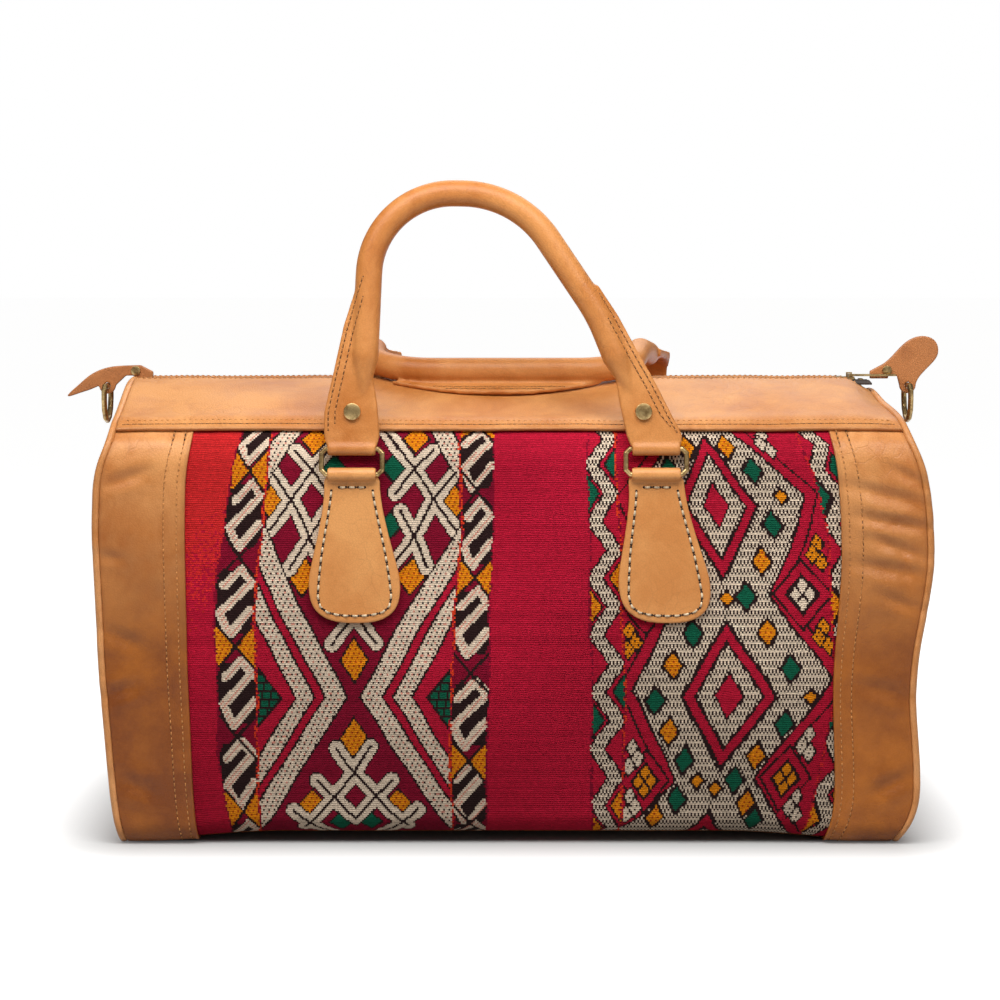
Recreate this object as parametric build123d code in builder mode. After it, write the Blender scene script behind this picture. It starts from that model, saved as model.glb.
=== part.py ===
from build123d import *
import math
import os

# A soft travel bag: woven wool panels set between leather strips, a zip along the roof,
# two rolled leather handles on brass rings and a strap ring at each end.
# Millimetres, +Z up. The front faces -Y. The origin is the centre of the base on the ground.

# Body
body_length = 480.0          # between the two piped end seams
body_depth = 210.0           # across the leather, front to rear
ridge_height = 279.0         # where the two roof slopes would meet
eaves_height = 246.5         # where a roof slope would meet the upright front
base_radius = 28.0
shoulder_radius = 30.0
ridge_radius = 120.0
smallest_bend = 6.0
leather = 2.0                # one layer of hide
wool = 2.0                   # the woven panel
seam_lap = 8.0               # how far the wool runs in under the leather
shoulder_seam_height = 247.0
base_seam = body_depth / 2 - 19.0
strip_width = 48.0           # leather strip beside each end seam
zip_gap = 16.0               # between the edges of the two roof bands

# End panels and piping
piping_width = 4.4
piping_round = 1.9
piping_flange = 2.5
end_rim = 10.0               # seam allowance turned into the body
end_skin = 2.5
end_bulge = 12.0

# Lining and base board
lining_skin = 1.2
lining_inset = 12.0          # from the end seam to the end wall of the lining
board_thickness = 3.0
board_length = body_length - 50.0
board_width = body_depth - 66.0
board_corner = 20.0

# Zip
zip_length = body_length - 28.0
chain_start = 38.0 - body_length / 2
chain_length = body_length - 60.0
tape_skin = 1.0
tape_width = 15.0
tooth_pitch = 5.0
tooth_play = 0.15            # between neighbouring teeth of the two rows
tooth_reach = 1.6            # past the middle of the chain
tooth_height = 2.4
tape_edge = 3.0              # from the middle of the chain to the edge of the tape
jaw_grip = 1.0               # how far a tooth's jaws reach over the tape
jaw_play = 0.08
slider_length = 12.0
slider_half_width = 5.3
slider_skin = 1.0
slider_play = 0.15
slider_corner = 1.0
slider_x = body_length / 2 - 29.0
pull_length = 30.0
pull_width = 5.5
pull_thickness = 1.2
pull_corner = 2.4
pull_hole = 1.4
lug_wire = 0.9
lug_room = 1.9               # inside the lug, where the pull turns
pull_play = 0.12
lug_setback = 3.0            # from the slider's end to the lug
pull_hole_edge = 0.6         # of the hole's corner inside the pull's round end
stop_length = 2.5
stop_setback = 2.0           # past the last tooth
stop_corner = 0.5

# Handle fittings
wire_radius = 1.5
ring_inner_width = 33.0
ring_bar_gap = 15.0          # between the two bars of a handle ring
ring_corner = 2.6            # cut across each corner of the wire
bar_play = 0.3               # between a ring's bar and the leather loop round it
loop_width = 29.0
loop_leather = 2.2           # hide of a loop round a bar
strap_width = 33.0
strap_thickness = 5.0
lower_bar_height = 221.0
lower_bar_stand = 5.0        # from the wool to the lower bar
ring_lean = 2.0              # the upper bar lies this far behind the lower one
chape_thickness = 4.0
chape_drop = 88.6            # from the lower bar to the foot of the chape
chape_foot_width = 53.5
loop_drop = 4.0              # from the lower bar to the full width of the neck
chape_edge = ((0.22, 63.0), (0.72, 40.6), (1.0, 16.0), (0.7, 8.0), (0.02, 2.6))
front_ring_x = (-95.6, 85.0)
front_foot_x = (-93.6, 91.7)
rear_ring_x = (-90.0, 90.0)
rear_foot_x = (-90.0, 90.0)

# Handles
tube_radius = 8.0
handle_lean = 5.5            # degrees, back from upright
rivet_rise = 22.0            # above the upper bar
rivet_head_radius = 5.0
rivet_head = 2.0
rivet_shank_radius = 1.9
rivet_play = 0.1

# End tabs and strap rings
tab_thickness = 3.6
tab_offset = (0.0, 5.8)      # of the left and the right tab, behind the middle
strap_wire_radius = 1.75
strap_ring_width = 24.0      # inside the ring
strap_ring_depth = 22.0
bow_sides = 6
strap_bar_reach = (17.0, 12.0)   # of the left and the right bar, beyond the end seam
strap_bar_height = 267.5
tab_eye_radius = 5.2
tab_rivet_inset = 1.2        # from the end seam
tab_rivet_height = 277.0
tab_rivet_radius = 3.0
tab_rivet_head = 1.1
tab_rivet_shank = 1.4
tab_root_top = 276.5
tab_root_length = 12.0       # inside the end seam
tab_play = 0.4               # between the tongue and the piping
root_play = 0.3              # between the tongue and the zip tapes

roof_angle = math.atan((ridge_height - eaves_height) / (body_depth / 2))
roof_top = ridge_height - ridge_radius * (1 / math.cos(roof_angle) - 1)
chain_height = roof_top - leather - tape_skin / 2
half_length = body_length / 2
wool_face = body_depth / 2 - leather
loop_radius = wire_radius + bar_play + loop_leather
far = 2 * body_length
left = -1
right = 1
front = -1
rear = 1

os.makedirs("parts", exist_ok=True)


def save(part, name):
    part.label = name
    export_step(part, f"parts/{name}.step")


def outline(inset):
    half = body_depth / 2 - inset
    ridge = ridge_height - inset / math.cos(roof_angle)
    eaves = ridge - half * math.tan(roof_angle)
    return [(-half, inset), (-half, eaves), (0, ridge), (half, eaves), (half, inset)]


def outline_radii(inset):
    radii = [base_radius, shoulder_radius, ridge_radius, shoulder_radius, base_radius]
    return [max(radius - inset, smallest_bend) for radius in radii]


def body_section(x, inset):
    with BuildSketch(Plane.YZ.offset(x)) as section:
        with BuildLine():
            FilletPolyline(*outline(inset), radius=outline_radii(inset), close=True)
        make_face()
    return section.sketch


def shell_section(x, outer, inner, low, high):
    # The band between two insets of the outline, kept inside the window from low to high.
    with BuildSketch(Plane.YZ.offset(x)) as section:
        with BuildLine():
            FilletPolyline(*outline(outer), radius=outline_radii(outer), close=True)
        make_face()
        with BuildLine():
            FilletPolyline(*outline(inner), radius=outline_radii(inner), close=True)
        make_face(mode=Mode.SUBTRACT)
        with Locations(((low[0] + high[0]) / 2, (low[1] + high[1]) / 2)):
            Rectangle(high[0] - low[0], high[1] - low[1], mode=Mode.INTERSECT)
    return section.sketch


# Woven panels, wrapped from under the base panel to under the roof band
wool_half_length = half_length - strip_width + seam_lap
wool_inner_edge = base_seam - seam_lap
for side, name in ((front, "front_kilim_panel"), (rear, "rear_kilim_panel")):
    low = (-far, -1) if side == front else (wool_inner_edge, -1)
    high = (-wool_inner_edge, far) if side == front else (far, far)
    with BuildPart() as wool_panel:
        extrude(shell_section(-wool_half_length, leather, leather + wool, low, high),
                amount=2 * wool_half_length)
    save(wool_panel.part, name)

# Leather strips beside the end seams
for side, side_name in ((front, "front"), (rear, "rear")):
    low = (-far, -1) if side == front else (base_seam, -1)
    high = (-base_seam, shoulder_seam_height) if side == front else (far, shoulder_seam_height)
    for end, end_name in ((left, "left"), (right, "right")):
        start = -half_length if end == left else half_length - strip_width
        with BuildPart() as strip:
            extrude(shell_section(start, 0, leather, low, high), amount=strip_width)
        save(strip.part, f"{side_name}_{end_name}_band")

# Base panel
with BuildPart() as base_panel:
    extrude(shell_section(-half_length, 0, leather, (-base_seam, -1), (base_seam, base_radius)),
            amount=body_length)
save(base_panel.part, "base_panel")

# Roof bands, from the shoulder seam to the edge of the zip
for side, name in ((front, "top_band_front"), (rear, "top_band_rear")):
    low = (-far, shoulder_seam_height) if side == front else (zip_gap / 2, shoulder_seam_height)
    high = (-zip_gap / 2, far) if side == front else (far, far)
    with BuildPart() as roof_band:
        extrude(shell_section(-half_length, 0, leather, low, high), amount=body_length)
    save(roof_band.part, name)

# End panels, shallow hollow domes with their rim turned into the body
rim_inset = leather + piping_flange
dome_steps = ((-end_rim, 0.0), (piping_width, 0.0), (0.8 * end_bulge, 26.0), (end_bulge, 56.0))
for end, end_name in ((left, "left"), (right, "right")):
    with BuildPart() as end_panel:
        loft([body_section(half_length + step, rim_inset + inset) for step, inset in dome_steps],
             ruled=True)
        hollow = [(dome_steps[0][0], dome_steps[0][1])]
        hollow += [(step - end_skin, inset) for step, inset in dome_steps[1:]]
        loft([body_section(half_length + step, rim_inset + end_skin + inset) for step, inset in hollow],
             ruled=True, mode=Mode.SUBTRACT)
    panel = end_panel.part if end == right else end_panel.part.mirror(Plane.YZ)
    save(panel, f"end_panel_{end_name}")

# Piping, a folded welt with a flat flange sewn between the end panel and the strips
for end, end_name in ((left, "left"), (right, "right")):
    with BuildPart() as piping:
        extrude(shell_section(half_length, 0, piping_width, (-far, -1), (far, far)), amount=piping_width)
        outer_edges = piping.faces().sort_by(Axis.X)[-1].outer_wire().edges()
        outer_edges += piping.faces().sort_by(Axis.X)[0].outer_wire().edges()
        fillet(outer_edges, radius=piping_round)
        extrude(shell_section(half_length - end_rim, leather, rim_inset, (-far, -1), (far, far)),
                amount=end_rim + piping_width / 2)
    bead = piping.part if end == right else piping.part.mirror(Plane.YZ)
    save(bead, f"end_piping_{end_name}")

# Lining, a closed tub but for the slot under the zip
lining_half = half_length - lining_inset
lining_outer = leather + wool
slot_half = zip_gap / 2 + leather
with BuildPart() as lining:
    extrude(body_section(-lining_half, lining_outer), amount=2 * lining_half)
    extrude(body_section(-lining_half + lining_skin, lining_outer + lining_skin),
            amount=2 * (lining_half - lining_skin), mode=Mode.SUBTRACT)
    with BuildSketch(Plane.XY.offset(eaves_height)):
        Rectangle(zip_length, 2 * slot_half)
    extrude(amount=far, mode=Mode.SUBTRACT)
save(lining.part, "lining")

# Stiff board that lies on the lining
with BuildPart() as base_board:
    with BuildSketch(Plane.XY.offset(lining_outer + lining_skin)):
        RectangleRounded(board_length, board_width, board_corner)
    extrude(amount=board_thickness)
save(base_board.part, "base_board")

# Zip tapes, sewn under the edges of the roof bands
for side, name in ((front, "zip_tape_front"), (rear, "zip_tape_rear")):
    edges = sorted((side * tape_edge, side * (tape_edge + tape_width)))
    with BuildPart() as tape:
        extrude(shell_section(-zip_length / 2, leather, leather + tape_skin,
                              (edges[0], eaves_height), (edges[1], far)), amount=zip_length)
    save(tape.part, name)


# Zip teeth: the jaws of each tooth grip the tape, and the heads of the rows interleave
def tooth_profile(side):
    reach = -side * tooth_reach
    edge = side * (tape_edge - jaw_play)
    jaw = side * (tape_edge + jaw_grip)
    top = chain_height + tooth_height / 2
    bottom = chain_height - tooth_height / 2
    grip_top = chain_height + tape_skin / 2 + jaw_play
    grip_bottom = chain_height - tape_skin / 2 - jaw_play
    return [(reach, bottom), (reach, top), (jaw, top), (jaw, grip_top), (edge, grip_top),
            (edge, grip_bottom), (jaw, grip_bottom), (jaw, bottom)]


tooth_width = tooth_pitch / 2 - tooth_play
tooth_count = int(chain_length / tooth_pitch)
for side, name in ((front, "zip_teeth_front"), (rear, "zip_teeth_rear")):
    shift = 0 if side == front else tooth_pitch / 2
    first = chain_start + shift
    with BuildPart() as teeth:
        with BuildSketch(*[Plane.YZ.offset(first + n * tooth_pitch) for n in range(tooth_count)]):
            with BuildLine():
                Polyline(*tooth_profile(side), close=True)
            make_face()
        extrude(amount=tooth_width)
    save(teeth.part, name)

# Stops clamped over both tapes at the ends of the chain
left_stop = chain_start - stop_setback - stop_length
right_stop = chain_start + chain_length + stop_setback
with BuildPart() as zip_stops:
    with BuildSketch(Plane.YZ.offset(left_stop), Plane.YZ.offset(right_stop)):
        with Locations((0, chain_height)):
            RectangleRounded(2 * (tape_edge + jaw_grip), tooth_height, stop_corner)
        with Locations((-tape_edge - jaw_grip, chain_height), (tape_edge + jaw_grip, chain_height)):
            Rectangle(2 * (jaw_grip + jaw_play), tape_skin + 2 * jaw_play, mode=Mode.SUBTRACT)
    extrude(amount=stop_length)
save(zip_stops.part, "zip_stops")

# Zip slider: two plates with turned edges, and a lug that holds the pull
plate_low = tooth_height / 2 + slider_play
plate_high = plate_low + slider_skin
lip_low = tape_skin / 2 + slider_play
lip_inner = tape_edge + jaw_grip + slider_play
slider_top = chain_height + plate_high
lug_x = slider_x + slider_length / 2 - lug_setback
pull_height = slider_top + lug_room / 2
lug_top = slider_top + lug_room + lug_wire
lug_sweep = math.sqrt(2) * (lug_room / 2 + lug_wire)
with BuildPart() as zip_slider:
    with BuildSketch(Plane.YZ.offset(slider_x - slider_length / 2)):
        for turn in (1, -1):
            middle = chain_height + turn * (plate_low + plate_high) / 2
            lip_middle = chain_height + turn * (lip_low + plate_high) / 2
            with Locations((0, middle)):
                Rectangle(2 * slider_half_width, slider_skin)
            for side in (-1, 1):
                with Locations((side * (lip_inner + slider_half_width) / 2, lip_middle)):
                    Rectangle(slider_half_width - lip_inner, plate_high - lip_low)
    extrude(amount=slider_length)
    upright = zip_slider.edges().filter_by(Axis.Z)
    flanks = upright.group_by(Axis.Y)[0] + upright.group_by(Axis.Y)[-1]
    fillet(flanks.group_by(Axis.X)[-1], radius=slider_corner)
    with BuildSketch(Plane.XZ.offset(-lug_wire)):
        with Locations((lug_x, (slider_top + lug_top) / 2)):
            Rectangle(lug_room + 2 * lug_wire, lug_top - slider_top)
        with Locations((lug_x, slider_top + lug_room / 2)):
            Rectangle(lug_room, lug_room, mode=Mode.SUBTRACT)
    extrude(amount=2 * lug_wire)
save(zip_slider.part, "zip_slider")

# Zip pull: a flat tongue whose eye turns in the lug, with a hole near its far end
pull_tip = lug_x + pull_length
pull_start = lug_x - pull_thickness / 2
eye_end = lug_x + lug_sweep + pull_play
with BuildPart() as zip_pull:
    with BuildSketch(Plane.XY.offset(pull_height - pull_thickness / 2)) as pull_shape:
        with Locations(((pull_start + pull_tip) / 2, 0)):
            Rectangle(pull_tip - pull_start, pull_width)
        fillet(pull_shape.vertices().group_by(Axis.X)[-1], radius=pull_corner)
        with Locations(((lug_x + pull_thickness / 2 + eye_end) / 2, 0)):
            Rectangle(eye_end - lug_x - pull_thickness / 2, 2 * (lug_wire + pull_play),
                      mode=Mode.SUBTRACT)
        with Locations((pull_tip - pull_width / 2 - pull_hole_edge, 0)):
            Circle(pull_hole, mode=Mode.SUBTRACT)
    extrude(amount=pull_thickness)
save(zip_pull.part, "zip_pull")


# Handle rings, chapes and their places on one face of the bag
class FaceSide:
    def __init__(self, side, name, ring_x, foot_x):
        self.side = side
        self.name = name
        self.ring_x = ring_x
        self.foot_x = foot_x
        self.lower_y = side * (wool_face + lower_bar_stand)
        self.upper_y = self.lower_y - side * ring_lean
        self.upper_z = lower_bar_height + math.sqrt(ring_bar_gap ** 2 - ring_lean ** 2)


front_face = FaceSide(front, "front", front_ring_x, front_foot_x)
rear_face = FaceSide(rear, "rear", rear_ring_x, rear_foot_x)


def handle_ring(face, x):
    half = ring_inner_width / 2 + wire_radius
    ring_plane = Plane(origin=(x, face.lower_y, lower_bar_height), x_dir=(1, 0, 0),
                       z_dir=(0, -(face.upper_z - lower_bar_height), face.upper_y - face.lower_y))
    with BuildPart() as ring:
        with BuildLine(ring_plane) as wire:
            Polyline((0, 0), (half - ring_corner, 0), (half, ring_corner),
                     (half, ring_bar_gap - ring_corner), (half - ring_corner, ring_bar_gap),
                     (ring_corner - half, ring_bar_gap), (-half, ring_bar_gap - ring_corner),
                     (-half, ring_corner), (ring_corner - half, 0), close=True)
        with BuildSketch(Plane(origin=wire.line @ 0, z_dir=wire.line % 0)):
            Circle(wire_radius)
        sweep(transition=Transition.RIGHT)
    return ring.part


def chape(face, ring_x, foot_x):
    # A bell-shaped tab on the wool whose upper edge is looped round the lower bar.
    foot_z = lower_bar_height - chape_drop
    neck_z = lower_bar_height - loop_drop
    lean = (foot_x - ring_x) / (neck_z - foot_z)
    edge = [((strap_width / 2 + (chape_foot_width - strap_width) / 2 * share), foot_z + rise)
            for share, rise in chape_edge]
    plate_y = face.side * wool_face
    if face.side == front:
        plate_plane = Plane(origin=(0, plate_y, 0), x_dir=(1, 0, 0), z_dir=(0, -1, 0))
    else:
        plate_plane = Plane(origin=(0, plate_y, 0), x_dir=(-1, 0, 0), z_dir=(0, 1, 0))
    flip = -face.side

    def at(half, z):
        return (flip * (ring_x + half + lean * (neck_z - z)), z)

    with BuildPart() as tab:
        with BuildSketch(plate_plane):
            with BuildLine():
                Polyline(at(-strap_width / 2, neck_z), at(-loop_width / 2, lower_bar_height),
                         at(loop_width / 2, lower_bar_height), at(strap_width / 2, neck_z))
                Spline(at(strap_width / 2, neck_z), *[at(half, z) for half, z in edge],
                       at(0, foot_z), *[at(-half, z) for half, z in reversed(edge)],
                       at(-strap_width / 2, neck_z))
            make_face()
        extrude(amount=chape_thickness)
        with BuildSketch(Plane.YZ.offset(ring_x - loop_width / 2)):
            with Locations((face.lower_y, lower_bar_height)):
                Circle(loop_radius)
        extrude(amount=loop_width)
        with BuildSketch(Plane.YZ.offset(ring_x - strap_width)):
            with Locations((face.lower_y, lower_bar_height)):
                Circle(wire_radius + bar_play)
        extrude(amount=2 * strap_width, mode=Mode.SUBTRACT)
    return tab.part


for face in (front_face, rear_face):
    for spot, end_name in ((0, "left"), (1, "right")):
        save(handle_ring(face, face.ring_x[spot]), f"{face.name}_ring_{end_name}")
        save(chape(face, face.ring_x[spot], face.foot_x[spot]), f"{face.name}_chape_{end_name}")


# A strap end looped round the upper bar: plate, bar hole and rivet hole
def bar_loop(face, x):
    with BuildSketch(Plane.YZ.offset(x - loop_width / 2)) as loop:
        with Locations((face.upper_y, face.upper_z)):
            Circle(loop_radius)
    return loop.sketch


def bar_hole(face, x):
    with BuildSketch(Plane.YZ.offset(x - strap_width)) as hole:
        with Locations((face.upper_y, face.upper_z)):
            Circle(wire_radius + bar_play)
    return hole.sketch


def rivets(plane, places):
    # Each has a domed head in front, a shank through the strap and a cap behind.
    seat = strap_thickness / 2
    with BuildPart() as pins:
        with BuildSketch(plane.offset(-seat)):
            with Locations(*[(x, rivet_rise) for x in places]):
                Circle(rivet_shank_radius)
        extrude(amount=strap_thickness)
        for turn in (1, -1):
            with BuildSketch(plane.offset(turn * seat)):
                with Locations(*[(x, rivet_rise) for x in places]):
                    Circle(rivet_head_radius)
            extrude(amount=turn * rivet_head, taper=30)
    return pins.part


# Front handle: two strap ends with their flanges, and a tube rolled over a cord
lean = math.radians(handle_lean)
front_plane = Plane(origin=(0, front_face.upper_y, front_face.upper_z), x_dir=(1, 0, 0),
                    z_dir=(0, -math.cos(lean), math.sin(lean)))
front_path = [(-88.0, 54.0), (-84.0, 153.5), (3.0, 152.0), (51.0, 80.0), (61.5, 54.0)]
front_bends = [50.0, 62.0, 110.0]
front_rivet_x = (-95.4, 77.5)
left_ring_x = front_ring_x[0]
right_ring_x = front_ring_x[1]
left_blade = [(left_ring_x - loop_width / 2, 0), (left_ring_x - strap_width / 2, 8),
              (left_ring_x - strap_width / 2, 22), (-106.9, 45), (-100.9, 73), (-90.9, 105),
              (-84.5, 104), (-86, 60), (-80.5, 26), (left_ring_x + strap_width / 2, 8),
              (left_ring_x + loop_width / 2, 0)]
right_blade = [(right_ring_x + loop_width / 2, 0), (right_ring_x + strap_width / 2 - 1, 8),
               (94.4, 20), (85.5, 38), (73.6, 59), (62.9, 79), (50.5, 98), (46, 91), (58, 62),
               (63.5, 26), (right_ring_x - strap_width / 2 - 1, 8),
               (right_ring_x - loop_width / 2, 0)]
taper_length = 24.0


def tube_start(point, toward):
    # A cone where the flat strap end swells into the tube.
    plane = Plane(origin=point, z_dir=toward)
    with BuildPart() as cone:
        with BuildSketch(plane):
            Circle(tube_radius)
        with BuildSketch(plane.offset(-taper_length)):
            Circle(strap_thickness / 2)
        loft()
    return cone.part


with BuildLine(front_plane) as front_line:
    FilletPolyline(*front_path, radius=front_bends)
with BuildPart() as handle_front:
    with BuildSketch(Plane(origin=front_line.line @ 0, z_dir=front_line.line % 0)):
        Circle(tube_radius)
    sweep(path=front_line.line)
    add(tube_start(front_line.line @ 0, front_line.line % 0))
    add(tube_start(front_line.line @ 1, front_line.line % 1 * -1))
    for blade in (left_blade, right_blade):
        with BuildSketch(front_plane.offset(-strap_thickness / 2)):
            with BuildLine():
                Polyline(*blade, close=True)
            make_face()
        extrude(amount=strap_thickness)
    for x in front_ring_x:
        extrude(bar_loop(front_face, x), amount=loop_width)
    for x in front_ring_x:
        extrude(bar_hole(front_face, x), amount=2 * strap_width, mode=Mode.SUBTRACT)
    for x in front_rivet_x:
        with BuildSketch(front_plane.offset(-tube_radius)):
            with Locations((x, rivet_rise)):
                Circle(rivet_shank_radius + rivet_play)
        extrude(amount=2 * tube_radius, mode=Mode.SUBTRACT)
save(handle_front.part, "handle_front")
save(rivets(front_plane, front_rivet_x), "front_rivets")

# Rear handle: laid forward over the roof, its grip on the front band
grip_y = -31.0
grip_z = 278.7
rear_bar_y = rear_face.upper_y
rear_plane = Plane(origin=(0, rear_bar_y, rear_face.upper_z), x_dir=(-1, 0, 0), z_dir=(0, 1, 0))
crest = (22.0, 289.4)
strap_knee = (rear_bar_y, 281.0)
knee_radius = 18.0
tube_from = 66.0
knee_slope = (crest[1] - strap_knee[1]) / (strap_knee[0] - crest[0])
tube_from_z = crest[1] - (tube_from - crest[0]) * knee_slope
rear_path = [(-90.0, tube_from, tube_from_z), (-88.5, *crest), (-86.0, grip_y, grip_z),
             (72.0, grip_y, grip_z), (82.0, *crest), (90.0, tube_from, tube_from_z)]
rear_bends = [60.0, 38.0, 38.0, 60.0]
rear_blade = [(-loop_width / 2, 106), (-strap_width / 2, 98), (-strap_width / 2, 90), (-tube_radius, 56),
              (tube_radius, 56), (strap_width / 2, 90), (strap_width / 2, 98), (loop_width / 2, 106),
              (loop_width / 2, 112), (-loop_width / 2, 112)]
grip_flange_half = 66.0
grip_flange_width = 19.0
grip_flange_thickness = 3.0
grip_flange_middle = -10.0
grip_flange_play = 0.4       # above the roof band

with BuildLine() as rear_line:
    FilletPolyline(*rear_path, radius=rear_bends)
roof_slope = Plane(origin=(grip_flange_middle, 0, ridge_height), x_dir=(1, 0, 0),
                   z_dir=(0, -math.sin(roof_angle), math.cos(roof_angle)))
grip_run = -grip_y / math.cos(roof_angle)


def rear_strap(x):
    # The flat strap end rises from the bar and bends forward over the shoulder.
    with BuildPart() as strap:
        with BuildSketch(Plane.YZ.offset(x - strap_width / 2)):
            with BuildLine():
                FilletPolyline((rear_bar_y, rear_face.upper_z), strap_knee, crest, radius=[knee_radius])
            trace(line_width=strap_thickness)
        extrude(amount=strap_width)
        with BuildSketch(Plane.XY.offset(rear_face.upper_z - strap_thickness)):
            with BuildLine():
                Polyline(*[(x + u, v) for u, v in rear_blade], close=True)
            make_face()
        extrude(amount=2 * strap_knee[0], mode=Mode.INTERSECT)
    return strap.part


with BuildPart() as handle_rear:
    with BuildSketch(Plane(origin=rear_line.line @ 0, z_dir=rear_line.line % 0)):
        Circle(tube_radius)
    sweep(path=rear_line.line)
    add(tube_start(rear_line.line @ 0, rear_line.line % 0))
    add(tube_start(rear_line.line @ 1, rear_line.line % 1 * -1))
    for x in rear_ring_x:
        add(rear_strap(x))
    with BuildSketch(roof_slope.offset(grip_flange_play)):
        with BuildLine():
            Line((-grip_flange_half, -grip_run), (grip_flange_half, -grip_run))
            ThreePointArc((grip_flange_half, -grip_run), (0, -grip_run - grip_flange_width),
                          (-grip_flange_half, -grip_run))
        make_face()
    extrude(amount=grip_flange_thickness)
    for x in rear_ring_x:
        extrude(bar_loop(rear_face, x), amount=loop_width)
    for x in rear_ring_x:
        extrude(bar_hole(rear_face, x), amount=2 * strap_width, mode=Mode.SUBTRACT)
    for x in rear_ring_x:
        with BuildSketch(rear_plane.offset(-tube_radius)):
            with Locations((-x, rivet_rise)):
                Circle(rivet_shank_radius + rivet_play)
        extrude(amount=2 * tube_radius, mode=Mode.SUBTRACT)
save(handle_rear.part, "handle_rear")
save(rivets(rear_plane, [-x for x in rear_ring_x]), "rear_rivets")

# End tabs: a leather tongue that stands in the end of the zip gap and carries a strap ring
root_low = roof_top - leather + root_play
bead_side = half_length - tab_play
over_bead = roof_top + tab_play
past_bead = half_length + piping_width + 2 * tab_play
tab_rivet_x = half_length - tab_rivet_inset
tab_root_x = half_length - tab_root_length


def tab_body(end, spot, outer_edge):
    bar_x = half_length + strap_bar_reach[spot]
    bar_z = strap_bar_height
    middle = tab_offset[spot]
    with BuildPart() as tongue:
        with BuildSketch(Plane.XZ.offset(-middle - tab_thickness / 2)):
            with BuildLine():
                Polyline((end * tab_root_x, tab_root_top), (end * tab_root_x, root_low),
                         (end * bead_side, root_low), (end * bead_side, over_bead),
                         (end * past_bead, over_bead), (end * (bar_x - tab_eye_radius), bar_z))
                ThreePointArc((end * (bar_x - tab_eye_radius), bar_z),
                              (end * bar_x, bar_z - tab_eye_radius),
                              (end * (bar_x + tab_eye_radius), bar_z))
                Spline((end * (bar_x + tab_eye_radius), bar_z),
                       *[(end * (half_length + reach), z) for reach, z in outer_edge])
                Line((end * (half_length + outer_edge[-1][0]), outer_edge[-1][1]),
                     (end * tab_root_x, tab_root_top))
            make_face()
            with Locations((end * bar_x, bar_z)):
                Circle(strap_wire_radius + bar_play, mode=Mode.SUBTRACT)
            with Locations((end * tab_rivet_x, tab_rivet_height)):
                Circle(tab_rivet_shank + rivet_play, mode=Mode.SUBTRACT)
        extrude(amount=tab_thickness)
    return tongue.part


def tab_rivets():
    with BuildPart() as pins:
        for end, middle in ((left, tab_offset[0]), (right, tab_offset[1])):
            with BuildSketch(Plane.XZ.offset(-middle - tab_thickness / 2)):
                with Locations((end * tab_rivet_x, tab_rivet_height)):
                    Circle(tab_rivet_shank)
            extrude(amount=tab_thickness)
            for turn in (1, -1):
                with BuildSketch(Plane.XZ.offset(-middle + turn * tab_thickness / 2)):
                    with Locations((end * tab_rivet_x, tab_rivet_height)):
                        Circle(tab_rivet_radius)
                extrude(amount=turn * tab_rivet_head, taper=30)
    return pins.part


def strap_ring(end, spot):
    # A D of mitred wire: the straight bar on top, the bow below in equal turns.
    half = strap_ring_width / 2 + strap_wire_radius
    bow_drop = strap_ring_depth - half
    turns = [math.radians(180 * n / bow_sides) for n in range(bow_sides + 1)]
    bow = [(half * math.cos(turn), -bow_drop - half * math.sin(turn)) for turn in turns]
    bar_x = end * (half_length + strap_bar_reach[spot])
    ring_plane = Plane(origin=(bar_x, tab_offset[spot], strap_bar_height),
                       x_dir=(0, 1, 0), z_dir=(1, 0, 0))
    with BuildPart() as ring:
        with BuildLine(ring_plane) as wire:
            Polyline((0, 0), (half - ring_corner, 0), (half, -ring_corner), *bow,
                     (-half, -ring_corner), (ring_corner - half, 0), close=True)
        with BuildSketch(Plane(origin=wire.line @ 0, z_dir=wire.line % 0)):
            Circle(strap_wire_radius)
        sweep(transition=Transition.RIGHT)
    return ring.part


# Reach past the end seam, and height, of the tongues' outer edges
left_tongue = [(28.0, 264.9), (35.0, 262.6), (42.4, 260.6), (35.0, 268.4),
               (27.5, 274.6), (18.6, 278.6), (7.0, 280.2), (-4.0, 280.6)]
right_tongue = [(26.0, 279.8), (31.6, 288.5), (29.5, 295.8), (22.0, 298.8),
                (13.0, 296.2), (4.5, 288.4), (-3.5, 281.0)]
for end, spot, end_name, tongue_edge in ((left, 0, "left", left_tongue), (right, 1, "right", right_tongue)):
    save(tab_body(end, spot, tongue_edge), f"end_tab_{end_name}")
    save(strap_ring(end, spot), f"strap_ring_{end_name}")
save(tab_rivets(), "tab_rivets")
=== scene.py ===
"""Looks for a soft travel bag: woven wool sides in a leather frame, rolled handles, brass fittings.

Lengths inside the classes are in millimetres, as on a pattern maker's sheet, and become metres
when a mesh is made. The front faces -Y and Z is up.
"""

import logging
import math
from collections.abc import Callable, Sequence
from dataclasses import dataclass, field
from enum import Enum

import bmesh
import bpy
import numpy as np
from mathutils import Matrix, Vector
from mathutils.bvhtree import BVHTree

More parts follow.
